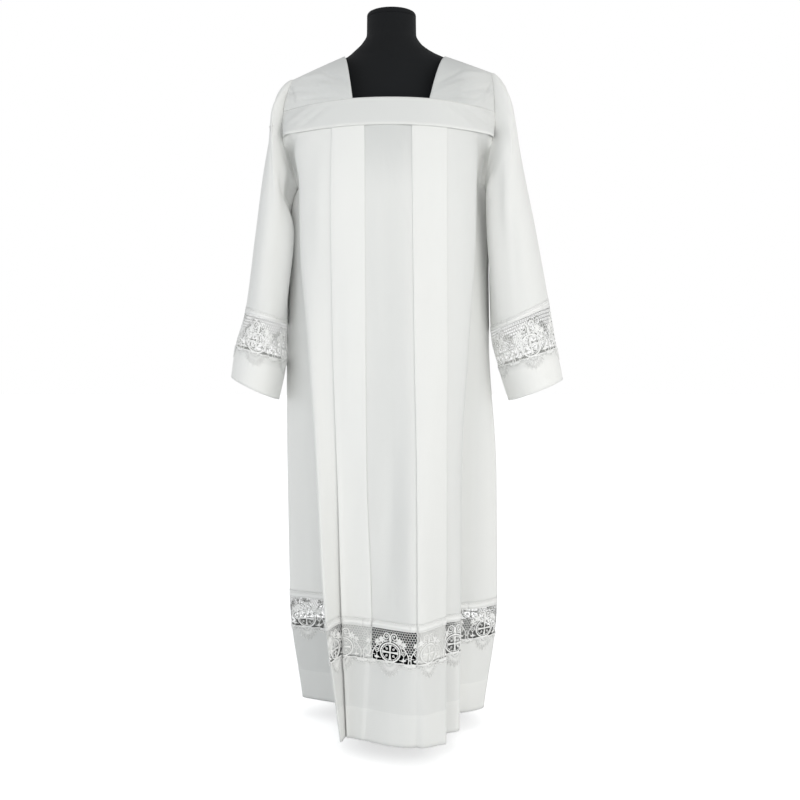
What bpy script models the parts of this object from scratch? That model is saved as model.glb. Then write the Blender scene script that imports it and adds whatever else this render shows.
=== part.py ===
"""Alb robe on a limbless dress form, in metres, +Z up, front towards -Y.

The robe is cut from straight widths of cloth: a front and a back panel, each with two pressed box
pleats, hang from straight bands, shoulder pieces join the bands over the shoulders, and set-in
sleeves hang from the armholes. Lace is let in above the hem and above each cuff. Every cloth piece
is an open surface through sections at named heights, given its wall by Solidify. The origin is on
the floor under the neck.
"""

import math

import bmesh
import bpy
import numpy as np

# ---------------------------------------------------------------- sizes
WALL = 0.0012
BAND_WALL = 0.0020
SEAM = 0.0003  # clear space between two pieces that are sewn together
LACE_SEAM = 0.0005  # the same above and below the lace, where the walls lean
SIDE_SEAM = 0.0006  # and down the sides, where they turn a corner

NEARLY_NOTHING = 1e-5  # two heights or points closer than this are the same

HEM_Z = 0.040
LACE_LOW_Z = 0.197
LACE_TOP_Z = 0.271
UNDERARM_Z = 1.155

LACE_REPEAT = 0.0857
SLEEVE_REPEATS = 5

# Heights at which the fold lines of the front and the back are given.
FRONT_LEVELS = (1.268, 1.155, 0.850, 0.550, 0.271, 0.040)
BACK_LEVELS = (1.314, 1.155, 0.850, 0.550, 0.271, 0.040)

# Each fold line: its x at those heights, then its y at the same ones.
FRONT_FOLDS = {
    "side_left": (
        (-0.226, -0.200, -0.217, -0.222, -0.223, -0.196),
        (-0.050, 0.000, 0.030, 0.030, 0.030, 0.045),
    ),
    "flank_left": (
        (-0.206, -0.202, -0.194, -0.184, -0.176, -0.162),
        (-0.066, -0.030, -0.032, -0.008, 0.001, 0.022),
    ),
    "valley_left": (
        (-0.190, -0.199, -0.162, -0.137, -0.118, -0.110),
        (-0.076, -0.056, -0.062, -0.045, -0.025, -0.012),
    ),
    "crest_left": (
        (-0.168, -0.188, -0.170, -0.147, -0.126, -0.099),
        (-0.089, -0.088, -0.150, -0.208, -0.265, -0.235),
    ),
    "pleat_left_outer": (
        (-0.123, -0.124, -0.119, -0.108, -0.0985, -0.088),
        (-0.109, -0.128, -0.158, -0.184, -0.210, -0.204),
    ),
    "pleat_left_inner": (
        (-0.056, -0.055, -0.053, -0.049, -0.039, -0.052),
        (-0.121, -0.137, -0.173, -0.203, -0.234, -0.230),
    ),
    "centre": (
        (-0.006, -0.004, 0.000, 0.002, 0.006, -0.001),
        (-0.125, -0.141, -0.182, -0.222, -0.262, -0.259),
    ),
    "pleat_right_inner": (
        (0.042, 0.0425, 0.045, 0.0495, 0.050, 0.049),
        (-0.121, -0.138, -0.188, -0.236, -0.280, -0.266),
    ),
    "pleat_right_outer": (
        (0.114, 0.113, 0.1125, 0.1095, 0.1075, 0.107),
        (-0.110, -0.127, -0.162, -0.194, -0.206, -0.190),
    ),
    "crest_right": (
        (0.165, 0.177, 0.160, 0.1415, 0.1376, 0.135),
        (-0.091, -0.092, -0.132, -0.160, -0.184, -0.172),
    ),
    "valley_right": (
        (0.186, 0.196, 0.152, 0.131, 0.128, 0.130),
        (-0.079, -0.056, -0.070, -0.085, -0.105, -0.075),
    ),
    "flank_right": (
        (0.201, 0.201, 0.186, 0.180, 0.176, 0.165),
        (-0.068, -0.030, -0.036, -0.062, -0.090, -0.055),
    ),
    "side_right": (
        (0.220, 0.203, 0.203, 0.2235, 0.2245, 0.197),
        (-0.050, 0.000, 0.022, -0.012, -0.040, -0.028),
    ),
}
BACK_FOLDS = {
    "side_left": FRONT_FOLDS["side_left"],
    "flank_left": (
        (-0.212, -0.203, -0.199, -0.200, -0.196, -0.176),
        (0.058, 0.030, 0.066, 0.080, 0.084, 0.092),
    ),
    "valley_left": (
        (-0.196, -0.199, -0.166, -0.143, -0.130, -0.121),
        (0.066, 0.052, 0.078, 0.084, 0.088, 0.092),
    ),
    "crest_left": (
        (-0.172, -0.190, -0.174, -0.154, -0.142, -0.130),
        (0.076, 0.078, 0.132, 0.172, 0.204, 0.198),
    ),
    "pleat_left_outer": (
        (-0.122, -0.122, -0.117, -0.109, -0.102, -0.098),
        (0.090, 0.110, 0.146, 0.172, 0.192, 0.196),
    ),
    "pleat_left_inner": (
        (-0.053, -0.053, -0.052, -0.049, -0.044, -0.046),
        (0.098, 0.119, 0.162, 0.196, 0.220, 0.224),
    ),
    "centre": (
        (0.000, 0.000, -0.002, -0.004, -0.006, -0.004),
        (0.100, 0.122, 0.168, 0.206, 0.234, 0.238),
    ),
    "pleat_right_inner": (
        (0.053, 0.053, 0.051, 0.049, 0.047, 0.046),
        (0.098, 0.119, 0.164, 0.198, 0.226, 0.228),
    ),
    "pleat_right_outer": (
        (0.122, 0.122, 0.116, 0.108, 0.104, 0.100),
        (0.090, 0.110, 0.148, 0.176, 0.200, 0.198),
    ),
    "crest_right": (
        (0.172, 0.188, 0.170, 0.150, 0.140, 0.132),
        (0.076, 0.078, 0.132, 0.170, 0.206, 0.200),
    ),
    "valley_right": (
        (0.196, 0.199, 0.160, 0.138, 0.128, 0.124),
        (0.066, 0.052, 0.076, 0.080, 0.084, 0.088),
    ),
    "flank_right": (
        (0.209, 0.203, 0.190, 0.196, 0.192, 0.178),
        (0.058, 0.030, 0.062, 0.068, 0.066, 0.070),
    ),
    "side_right": FRONT_FOLDS["side_right"],
}
FOLD_ORDER = tuple(FRONT_FOLDS)

# How far a pleat's strip stands off the cloth behind it at each height, at its two edges.
PRESSED_LIFT = (0.0032, 0.0038, 0.0060, 0.0080, 0.0100, 0.0100)
OPEN_LIFT = (0.0032, 0.0038, 0.0060, 0.0085, 0.0140, 0.0600)
FRONT_LIFTS = {"pleat_left": (PRESSED_LIFT, PRESSED_LIFT), "pleat_right": (PRESSED_LIFT, OPEN_LIFT)}
BACK_LIFTS = {"pleat_left": (PRESSED_LIFT, PRESSED_LIFT), "pleat_right": (PRESSED_LIFT, PRESSED_LIFT)}

# Where each plain stretch between two folds has its points, as shares of the stretch.
STRETCH_SHARES = {
    ("side_left", "flank_left"): (0.0, 0.05, 0.5),
    ("flank_left", "valley_left"): (0.0, 0.6),
    ("valley_left", "crest_left"): (0.0, 0.5, 0.9),
    ("crest_left", "pleat_left_outer"): (0.0, 0.4),
    ("pleat_left_inner", "centre"): (0.0,),
    ("centre", "pleat_right_inner"): (0.0,),
    ("pleat_right_outer", "crest_right"): (0.0, 0.6),
    ("crest_right", "valley_right"): (0.0, 0.1, 0.5),
    ("valley_right", "flank_right"): (0.0, 0.4),
    ("flank_right", "side_right"): (0.0, 0.5, 0.95),
}
TUCK = 0.47  # how far each tucked fold reaches under its strip, as a share of the strip's width
STRIP_MIDDLE = 0.5
TURN_OF_LIFT = 0.25  # how far a folded edge rounds, as a share of the pleat's lift
TURN_MOST = 0.1  # and at most, as a share of the strip's width

# Rows of a panel: height at the middle, and at the armhole or side seam.
FRONT_ROWS = (
    (1.268, 1.254), (1.227, 1.215), (1.186, 1.180), (UNDERARM_Z, UNDERARM_Z),
    (1.060, 1.060), (0.900, 0.900), (0.720, 0.720), (0.500, 0.500), (LACE_TOP_Z, LACE_TOP_Z),
)
BACK_ROWS = (
    (1.314, 1.304), (1.264, 1.256), (1.206, 1.203), (UNDERARM_Z, UNDERARM_Z),
    (1.060, 1.060), (0.900, 0.900), (0.720, 0.720), (0.500, 0.500), (LACE_TOP_Z, LACE_TOP_Z),
)
FRONT_BAND = {"top_middle_z": 1.324, "top_end_z": 1.310, "top_middle_y": -0.120}
BACK_BAND = {"top_middle_z": 1.370, "top_end_z": 1.360, "top_middle_y": 0.086}
BAND_FULLNESS = 2.5  # how squarely a band goes round the chest
BAND_COLUMNS = 22
NECK_CORNER_X = {"left": -0.080, "right": 0.078}
BACK_CORNER_X = {"left": -0.084, "right": 0.088}
SHOULDER_NECK = {"left": (-0.104, 0.0, 1.436), "right": (0.122, 0.0, 1.436)}
SHOULDER_STEPS = 4  # rows of a shoulder piece, from a band to the ridge
SHOULDER_COLUMNS = 4

# Rings of a sleeve: where each is across the front view at its outer and its inner point, its half
# depth, how far it swells sideways halfway round, and its middle's place front to back.
SLEEVE_RINGS = {
    "left": (
        # ring       outer x, outer z, inner x, inner z, half depth, swell, middle y
        ("armhole", -0.211, 1.391, -0.200, 1.155, 0.055, 0.0275, 0.000),
        ("cap", -0.230, 1.377, -0.2075, 1.138, 0.063, 0.0240, 0.000),
        ("cap_fall", -0.246, 1.350, -0.212, 1.116, 0.068, 0.0190, 0.000),
        ("upper", -0.259, 1.285, -0.215, 1.085, 0.071, 0.0100, -0.002),
        ("biceps", -0.276, 1.190, -0.216, 1.040, 0.073, 0.0, -0.004),
        ("elbow", -0.293, 1.050, -0.221, 0.970, 0.074, 0.0, -0.010),
        ("lace_top", -0.315, 0.886, -0.2275, 0.860, 0.074, 0.0, -0.018),
        ("lace_low", -0.333, 0.817, -0.229, 0.782, 0.074, 0.0, -0.020),
        ("cuff", -0.344, 0.746, -0.241, 0.696, 0.074, 0.0, -0.022),
    ),
    "right": (
        ("armhole", 0.215, 1.406, 0.203, 1.155, 0.055, 0.0120, 0.000),
        ("cap", 0.233, 1.390, 0.2090, 1.138, 0.063, 0.0200, 0.000),
        ("cap_fall", 0.248, 1.362, 0.211, 1.116, 0.068, 0.0190, 0.000),
        ("upper", 0.267, 1.290, 0.212, 1.085, 0.071, 0.0100, -0.002),
        ("biceps", 0.286, 1.190, 0.212, 1.040, 0.073, 0.0, -0.004),
        ("elbow", 0.311, 1.060, 0.2115, 0.970, 0.074, 0.0, -0.010),
        ("lace_top", 0.338, 0.904, 0.2135, 0.847, 0.074, 0.0, -0.018),
        ("lace_low", 0.353, 0.8135, 0.230, 0.772, 0.074, 0.0, -0.020),
        ("cuff", 0.367, 0.741, 0.252, 0.694, 0.074, 0.0, -0.022),
    ),
}

CAP_SET_OUT = 0.2  # how far a sleeve is set out from the shoulder's tip, in walls; it is 1 below

# Gaps cut through one repeat of the lace, as shares of its width and of its height: four round a
# plain cross in the medallion, and two between this medallion and the next.
LACE_BARS = (0.14, 0.27, 0.475, 0.525, 0.73, 0.86)  # column edges of the repeat
LACE_ROWS = (0.0, 0.07, 0.33, 0.385, 0.65, 1.0)  # row edges, from the foot
LACE_GAPS = ((1, 1), (3, 1), (1, 3), (3, 3), (5, 1), (5, 3))  # (column, row) of each gap
SNAP = 0.0016  # a bar this near a fold of the cloth is laid on the fold

# Dress form: height, reach to the left, to the right, half depth, its middle's place, and fullness,
# which is 2 for an ellipse and less for a ring that comes to a ridge at its two ends.
FORM_RINGS = (
    ("neck_top", 1.5240, 0.0530, 0.0530, 0.0530, 0.012, 2.0),
    ("neck", 1.4880, 0.0535, 0.0535, 0.0540, 0.010, 2.0),
    ("neck_foot", 1.4680, 0.0640, 0.0640, 0.0570, 0.008, 1.9),
    ("neck_spread", 1.4495, 0.0840, 0.0880, 0.0560, 0.003, 1.7),
    ("ridge_neck", 1.4346, 0.1040, 0.1205, 0.0540, 0.000, 1.5),
    ("ridge_middle", 1.4186, 0.1421, 0.1700, 0.0540, 0.000, 1.5),
    ("ridge_end", 1.4066, 0.1706, 0.1960, 0.0560, 0.000, 1.5),
    ("shoulder_round", 1.3950, 0.1880, 0.2040, 0.0620, -0.004, 1.6),
    ("shoulder_side", 1.3700, 0.1960, 0.2060, 0.0740, -0.006, 1.7),
    ("armhole", 1.3200, 0.1930, 0.1970, 0.0960, -0.008, 1.9),
    ("chest_upper", 1.2600, 0.1800, 0.1800, 0.1030, -0.010, 2.1),
    ("chest", 1.1900, 0.1660, 0.1660, 0.1060, -0.012, 2.2),
    ("ribs", 1.1000, 0.1480, 0.1480, 0.1040, -0.008, 2.1),
    ("waist", 1.0000, 0.1340, 0.1340, 0.0980, 0.000, 2.0),
    ("hip_top", 0.9000, 0.1400, 0.1400, 0.1020, 0.008, 2.1),
    ("hip", 0.8000, 0.1440, 0.1440, 0.1060, 0.014, 2.2),
    ("hip_low", 0.7000, 0.1320, 0.1320, 0.1040, 0.020, 2.1),
    ("taper", 0.6000, 0.1120, 0.1120, 0.0980, 0.026, 2.0),
    ("column_top", 0.4800, 0.0980, 0.0980, 0.0920, 0.030, 2.0),
    ("column_foot", 0.0303, 0.0950, 0.0900, 0.0900, 0.030, 2.0),
)
FORM_SIDES = 28
CAP_HEIGHT = 0.016
CAP_ROUNDING = 0.0053
BASE_HALF_WIDTH = 0.112
BASE_HALF_DEPTH = 0.140
BASE_MIDDLE_Y = 0.072
BASE_HEIGHT = 0.030
BASE_EDGE = 0.006
BASE_SIDES = 36

# ---------------------------------------------------------------- materials
FINISHES = {
    # finish        red, green, blue, roughness
    "white_cotton": (0.80, 0.82, 0.81, 0.85),
    "white_lace": (0.84, 0.85, 0.84, 0.80),
    "black_jersey": (0.012, 0.014, 0.015, 0.90),
    "black_lacquer": (0.015, 0.016, 0.017, 0.45),
}


def finish(name, piece):
    """A material of its own for one piece."""
    red, green, blue, roughness = FINISHES[name]
    material = bpy.data.materials.new(f"{name}_{piece}")
    material.use_nodes = True
    shader = material.node_tree.nodes["Principled BSDF"]
    shader.inputs["Base Color"].default_value = (red, green, blue, 1.0)
    shader.inputs["Roughness"].default_value = roughness
    shader.inputs["Metallic"].default_value = 0.0
    return material


# ---------------------------------------------------------------- curves
def at_height(levels, values, z):
    """The value at height z on a smooth curve through the levels that never overshoots them."""
    levels = np.array(levels[::-1])
    values = np.array(values[::-1])
    steps = np.diff(levels)
    slopes = np.diff(values) / steps
    tangents = np.concatenate([slopes[:1], np.zeros(len(slopes) - 1), slopes[-1:]])
    for i in range(1, len(slopes)):
        before, after = slopes[i - 1], slopes[i]
        if before * after > 0:
            tangents[i] = 2 * before * after / (before + after)
    i = int(np.clip(np.searchsorted(levels, z) - 1, 0, len(steps) - 1))
    t = (z - levels[i]) / steps[i]
    return hermite(values[i], values[i + 1], tangents[i] * steps[i], tangents[i + 1] * steps[i], t)


def hermite(start, end, start_tangent, end_tangent, t):
    """A point on the cubic from start to end with these tangents."""
    return (
        (2 * t**3 - 3 * t**2 + 1) * start
        + (t**3 - 2 * t**2 + t) * start_tangent
        + (3 * t**2 - 2 * t**3) * end
        + (t**3 - t**2) * end_tangent
    )


def stretch_point(before, start, end, after, share):
    """A point on the centripetal curve through four points, between the middle two."""
    points = (before, start, end, after)
    first, middle, last = (
        max(float(np.linalg.norm(b - a)) ** 0.5, NEARLY_NOTHING) for a, b in zip(points, points[1:])
    )
    leaving = middle * (
        (start - before) / first - (end - before) / (first + middle) + (end - start) / middle
    )
    arriving = middle * (
        (end - start) / middle - (after - start) / (middle + last) + (after - end) / last
    )
    return hermite(start, end, leaving, arriving, share)


# ---------------------------------------------------------------- armholes and sleeves
def ring_point(ring, angle):
    """A point of a sleeve ring: angle 0 at its outer point, a quarter turn at its front."""
    _, outer_x, outer_z, inner_x, inner_z, depth, swell, middle_y = ring
    side = math.copysign(1.0, outer_x)
    along = math.cos(angle)
    across = math.sin(angle)
    return np.array((
        (outer_x + inner_x) / 2 + along * (outer_x - inner_x) / 2 + side * swell * across**2,
        middle_y - depth * across,
        (outer_z + inner_z) / 2 + along * (outer_z - inner_z) / 2,
    ))


def armhole_angle(side, z):
    """How far round the armhole this height is, from the shoulder's tip."""
    _, _, outer_z, _, inner_z, *_ = SLEEVE_RINGS[side][0]
    share = (z - (outer_z + inner_z) / 2) / ((outer_z - inner_z) / 2)
    return math.acos(max(-1.0, min(1.0, share)))


def armhole_point(side, face, z):
    """The armhole's point at height z, on the front or the back."""
    sign = 1 if face == "front" else -1
    return ring_point(SLEEVE_RINGS[side][0], sign * armhole_angle(side, z))


def seam_angles(side, face):
    """Angles round half an armhole where the pieces of this face have their points."""
    rows, band = rows_of(face)
    over_shoulder = armhole_angle(side, band["top_end_z"])
    angles = [over_shoulder * i / SHOULDER_STEPS for i in range(SHOULDER_STEPS + 1)]
    angles += [armhole_angle(side, z) for _, z in rows if z > UNDERARM_Z]
    return angles


def sleeve_angles(side):
    """Every angle round a sleeve, once round from the shoulder's tip by the front."""
    front = seam_angles(side, "front")
    back = seam_angles(side, "back")
    return front + [math.pi] + [2 * math.pi - angle for angle in reversed(back[1:])]


def sleeve_ring(side, name, angles, lower=0.0):
    """The points of a named ring, moved down its sleeve by a little."""
    rings = {ring[0]: ring for ring in SLEEVE_RINGS[side]}
    points = np.array([ring_point(rings[name], angle) for angle in angles])
    if name == "armhole":
        sign = math.copysign(1.0, points[0][0])
        for point, angle in zip(points, angles):
            lower_share = abs(math.sin(angle / 2))
            point[0] += sign * (SEAM + WALL * (CAP_SET_OUT + (1 - CAP_SET_OUT) * lower_share))
    points[:, 2] -= lower
    return points


# ---------------------------------------------------------------- body sections
def folds_of(face):
    """The fold lines of this face, the heights they are given at, and its pleats' lifts."""
    if face == "front":
        return FRONT_FOLDS, FRONT_LEVELS, FRONT_LIFTS
    return BACK_FOLDS, BACK_LEVELS, BACK_LIFTS


def rows_of(face):
    """The panel's rows on this face, and its band."""
    if face == "front":
        return FRONT_ROWS, FRONT_BAND
    return BACK_ROWS, BACK_BAND


def fold_places(face, z, side_z):
    """Plan place of each fold at height z, with the two outer ones on the armholes or side seams."""
    folds, levels, _ = folds_of(face)
    places = [np.array([at_height(levels, values, z) for values in folds[name]]) for name in FOLD_ORDER]
    if side_z > UNDERARM_Z:
        places[0] = armhole_point("left", face, side_z)[:2]
        places[-1] = armhole_point("right", face, side_z)[:2]
    toward = -1 if face == "front" else 1
    places[0] = places[0] + (0, toward * SIDE_SEAM / 2)
    places[-1] = places[-1] + (0, toward * SIDE_SEAM / 2)
    return places


def past_seam(face, z, side_z):
    """The points that steer a section's two ends: the other face's flanks, or straight on."""
    places = fold_places(face, z, side_z)
    if side_z > UNDERARM_Z:
        return 2 * places[0] - places[1], 2 * places[-1] - places[-2]
    other = fold_places("back" if face == "front" else "front", z, side_z)
    return other[1], other[-2]


def pleat_path(face, name, z, base_point):
    """Points across one box pleat: in under the strip, out, over the strip, and the same back."""
    _, levels, lifts = folds_of(face)
    inner_lift, outer_lift = (at_height(levels, lift, z) for lift in lifts[name])
    if name == "pleat_left":
        lift_start, lift_end = outer_lift, inner_lift
    else:
        lift_start, lift_end = inner_lift, outer_lift
    outward = np.array((0.0, -1.0 if face == "front" else 1.0))
    width = float(np.linalg.norm(base_point(1.0) - base_point(0.0)))
    turn = min(TURN_MOST, max(lift_start, lift_end) * TURN_OF_LIFT / width)
    half = [
        (0.0, 0.0),
        (TUCK - turn, 0.0),
        (TUCK, 0.25),
        (TUCK - turn, 0.5),
        (turn, 0.5),
        (0.0, 0.75),
        (turn, 1.0),
    ]
    steps = half + [(STRIP_MIDDLE, 1.0)] + [(1 - share, layer) for share, layer in reversed(half)]
    return [
        base_point(share) + outward * layer * (lift_start * (1 - share) + lift_end * share)
        for share, layer in steps
    ]


def section(face, z, side_z):
    """The plan path of a panel at height z, from its left edge to its right."""
    places = fold_places(face, z, side_z)
    before, after = past_seam(face, z, side_z)
    knots = [before, *places, after]
    path = []
    for i, (start, end) in enumerate(zip(FOLD_ORDER, FOLD_ORDER[1:])):
        def base_point(share, i=i):
            return stretch_point(knots[i], knots[i + 1], knots[i + 2], knots[i + 3], share)

        if (start, end) in STRETCH_SHARES:
            shares = STRETCH_SHARES[(start, end)]
            skip = start.startswith("pleat")  # the pleat itself ends on this point
            path += [base_point(share) for share in shares if not (skip and share == 0.0)]
        else:
            path += pleat_path(face, start.rsplit("_", 1)[0], z, base_point)
    path.append(places[-1])
    return np.array(path)


def section_row(face, middle_z, side_z):
    """A section as points in space: its ends hang lower where the band above droops."""
    plan = section(face, middle_z, side_z)
    reach = np.where(plan[:, 0] < 0, plan[0, 0], plan[-1, 0])
    share = np.clip(plan[:, 0] / reach, 0, 1) ** 2
    return np.column_stack([plan, middle_z - (middle_z - side_z) * share])


# ---------------------------------------------------------------- building pieces
def new_object(name, bm, material_name):
    """The finished mesh as a named object of the robe."""
    mesh = bpy.data.meshes.new(name)
    bm.to_mesh(mesh)
    bm.free()
    obj = bpy.data.objects.new(name, mesh)
    mesh.materials.append(finish(material_name, name))
    bpy.data.collections["alb_robe"].objects.link(obj)
    return obj


def grid_mesh(rows, closed=False, left_out=lambda row, column: False):
    """An open surface through rows of points, with some of its faces left out."""
    bm = bmesh.new()
    verts = [[bm.verts.new(point) for point in row] for row in rows]
    columns = len(rows[0]) if closed else len(rows[0]) - 1
    for r in range(len(rows) - 1):
        for c in range(columns):
            if left_out(r, c):
                continue
            d = (c + 1) % len(rows[0])
            bm.faces.new((verts[r][c], verts[r][d], verts[r + 1][d], verts[r + 1][c]))
    bmesh.ops.delete(bm, geom=[v for v in bm.verts if not v.link_faces], context="VERTS")
    return bm


def cloth(name, bm, wall=WALL, material_name="white_cotton"):
    """A piece of cloth: its surface, with its wall from Solidify."""
    obj = new_object(name, bm, material_name)
    solidify = obj.modifiers.new("wall", "SOLIDIFY")
    solidify.thickness = wall
    solidify.offset = 0.0
    solidify.use_even_offset = True
    solidify.use_quality_normals = True
    return obj


# ---------------------------------------------------------------- panels, bands and shoulders
def make_panel(face):
    """One face of the robe's body, from under its band down to the lace."""
    rows = [section_row(face, middle, side) for middle, side in rows_of(face)[0]]
    rows[0][:, 2] -= 2 * SEAM
    rows[-1][:, 2] += LACE_SEAM / 2
    cloth(f"{face}_panel", grid_mesh(rows))


def band_edge(face, share_up, xs=None):
    """A band's lower (0) or upper (1) edge, from the left armhole to the right one."""
    rows, top = rows_of(face)
    low = rows[0]
    folds = folds_of(face)[0]
    middle_z = low[0] + share_up * (top["top_middle_z"] - low[0])
    end_z = low[1] + share_up * (top["top_end_z"] - low[1])
    middle_y = folds["centre"][1][0] * (1 - share_up) + top["top_middle_y"] * share_up
    ends = {side: armhole_point(side, face, end_z) for side in ("left", "right")}
    if xs is None:
        turns = np.linspace(-math.pi / 2, math.pi / 2, BAND_COLUMNS + 1)
        xs = [math.sin(turn) * abs(ends["left" if turn < 0 else "right"][0]) for turn in turns]
    points = []
    for x in xs:
        end = ends["left" if x < 0 else "right"]
        share = min(1.0, abs(x / end[0]))
        y = middle_y + (end[1] - middle_y) * share**BAND_FULLNESS
        points.append((x, y, middle_z + (end_z - middle_z) * share**2))
    return np.array(points)


def make_band(face):
    """The straight band across the chest or the shoulder blades, over the heads of the pleats."""
    low = band_edge(face, 0.0)
    top = band_edge(face, 1.0)
    toward = -1 if face == "front" else 1
    low[1:-1, 1] += toward * PRESSED_LIFT[0] / 2  # level with the middle layer of the pleats' heads
    cloth(f"{face}_band", grid_mesh([low, top]), BAND_WALL)


def neck_edge(side, face, share):
    """The neckline from a band's corner (0) up to the shoulder (1), round like the chest."""
    corner_x = (NECK_CORNER_X if face == "front" else BACK_CORNER_X)[side]
    corner = band_edge(face, 1.0, [corner_x])[0]
    top = np.array(SHOULDER_NECK[side])
    up = math.sin(share * math.pi / 2)
    in_from_front = math.cos(share * math.pi / 2)
    return np.array((
        corner[0] + (top[0] - corner[0]) * share,
        top[1] + (corner[1] - top[1]) * in_from_front,
        corner[2] + (top[2] - corner[2]) * up,
    ))


def make_shoulder(side):
    """The yoke piece over one shoulder, from the front band to the back band."""
    columns = np.linspace(0, 1, SHOULDER_COLUMNS + 1)
    halves = {}
    for face in ("front", "back"):
        band = rows_of(face)[1]
        corner_x = (NECK_CORNER_X if face == "front" else BACK_CORNER_X)[side]
        tip_angle = armhole_angle(side, band["top_end_z"])
        sign = 1 if face == "front" else -1
        end_x = armhole_point(side, face, band["top_end_z"])[0]
        foot = band_edge(face, 1.0, [corner_x + (end_x - corner_x) * u for u in columns])
        rows = []
        for step in range(SHOULDER_STEPS + 1):
            share = step / SHOULDER_STEPS
            neck = neck_edge(side, face, share)
            arm = ring_point(SLEEVE_RINGS[side][0], sign * tip_angle * (1 - share))
            straight = [neck + (arm - neck) * u for u in columns]
            along_band = [foot[0] + (foot[-1] - foot[0]) * u for u in columns]
            bulge = (foot - np.array(along_band)) * (1 - share)
            rows.append(np.array(straight) + bulge)
        halves[face] = rows
    halves["front"][0][:, 2] += SEAM
    halves["back"][0][:, 2] += SEAM
    cloth(f"shoulder_{side}", grid_mesh(halves["front"] + halves["back"][-2::-1]))


# ---------------------------------------------------------------- lace and hems
def lengths_along(path):
    """How far along a path each of its points lies."""
    steps = np.linalg.norm(np.diff(path, axis=0), axis=1)
    return np.concatenate([[0.0], np.cumsum(steps)])


def point_along(path, lengths, length):
    """The point of a path that lies this far along the measured one."""
    i = int(np.clip(np.searchsorted(lengths, length, side="right") - 1, 0, len(lengths) - 2))
    share = (length - lengths[i]) / (lengths[i + 1] - lengths[i])
    return path[i] + (path[i + 1] - path[i]) * share


def lace_columns(lengths, repeats):
    """Every column of a strip of lace, and which of its stretches belongs to which gap column."""
    total = lengths[-1]
    repeat = total / repeats
    marks = []
    for n in range(repeats):
        for column, bar in enumerate(LACE_BARS):
            place = (n + bar) * repeat
            nearest = lengths[np.argmin(np.abs(lengths - place))]
            marks.append((nearest if abs(nearest - place) < SNAP else place, column))
    columns = sorted(set(np.round(lengths, 7)) | {round(place, 7) for place, _ in marks})
    places = [round(place, 7) for place, _ in marks]
    gap_column = []
    for start in columns[:-1]:
        index = int(np.searchsorted(places, start, side="right")) - 1
        at_an_end = index < 0 or index == len(marks) - 1
        gap_column.append(None if at_an_end else marks[index][1])
    return columns, gap_column


def make_lace(name, low, top, lengths, repeats):
    """A strip of lace between two edges of the cloth, its larger gaps cut through."""
    columns, gap_column = lace_columns(lengths, repeats)
    foot = np.array([point_along(low, lengths, c) for c in columns])
    head = np.array([point_along(top, lengths, c) for c in columns])
    rows = [foot + (head - foot) * share for share in LACE_ROWS]

    def left_out(row, column):
        return (gap_column[column], row) in LACE_GAPS

    cloth(name, grid_mesh(rows, left_out=left_out), material_name="white_lace")


def make_hem(face):
    """The lace let in above the hem, and the plain hem below it."""
    top = section_row(face, LACE_TOP_Z, LACE_TOP_Z)
    low = section_row(face, LACE_LOW_Z, LACE_LOW_Z)
    foot = section_row(face, HEM_Z, HEM_Z)
    lengths = lengths_along((top + low) / 2)
    lace_top = top - (0, 0, LACE_SEAM / 2)
    lace_low = low + (0, 0, LACE_SEAM / 2)
    make_lace(f"hem_lace_{face}", lace_low, lace_top, lengths, round(lengths[-1] / LACE_REPEAT))
    cloth(f"hem_{face}", grid_mesh([low - (0, 0, LACE_SEAM / 2), foot]))


def make_sleeve(side):
    """A set-in sleeve, its two halves of lace and its cuff."""
    angles = sleeve_angles(side)
    names = [ring[0] for ring in SLEEVE_RINGS[side]]
    upper = names[: names.index("lace_top") + 1]
    rings = [sleeve_ring(side, name, angles) for name in upper]
    rings[-1][:, 2] += LACE_SEAM / 2
    cloth(f"sleeve_{side}", grid_mesh(rings, closed=True))

    top = sleeve_ring(side, "lace_top", angles, LACE_SEAM / 2)
    low = sleeve_ring(side, "lace_low", angles, -LACE_SEAM / 2)
    halfway = angles.index(math.pi)
    halves = {"front": (0, halfway), "back": (halfway, len(angles))}
    for face, (first, last) in halves.items():
        head = half_ring(top, first, last)
        foot = half_ring(low, first, last)
        lengths = lengths_along((head + foot) / 2)
        repeats = SLEEVE_REPEATS // 2 + (face == "front")
        make_lace(f"cuff_lace_{side}_{face}", foot, head, lengths, repeats)

    cuff = [sleeve_ring(side, "lace_low", angles, LACE_SEAM / 2), sleeve_ring(side, "cuff", angles)]
    cloth(f"cuff_{side}", grid_mesh(cuff, closed=True))


def half_ring(ring, first, last):
    """Part of a closed ring, its two ends drawn in so that its wall clears the other part's."""
    count = len(ring)
    path = np.array([ring[i % count] for i in range(first, last + 1)])
    for end, inner, beyond in ((0, 1, (first - 1) % count), (-1, -2, (last + 1) % count)):
        here = path[inner] - path[end]
        there = path[end] - ring[beyond]
        cosine = here @ there / (np.linalg.norm(here) * np.linalg.norm(there))
        mitre = WALL / 2 * math.tan(math.acos(abs(cosine)) / 2)
        path[end] += here / np.linalg.norm(here) * (SEAM / 2 + mitre)
    return path


# ---------------------------------------------------------------- the dress form
def form_ring(ring):
    """The points of one ring of the dress form."""
    _, z, reach_left, reach_right, depth, middle_y, fullness = ring
    points = []
    for i in range(FORM_SIDES):
        turn = 2 * math.pi * i / FORM_SIDES
        across = math.copysign(abs(math.cos(turn)) ** (2 / fullness), math.cos(turn))
        deep = math.copysign(abs(math.sin(turn)) ** (2 / fullness), math.sin(turn))
        reach = reach_left if across < 0 else reach_right
        points.append((reach * across, middle_y + depth * deep, z))
    return points


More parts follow.
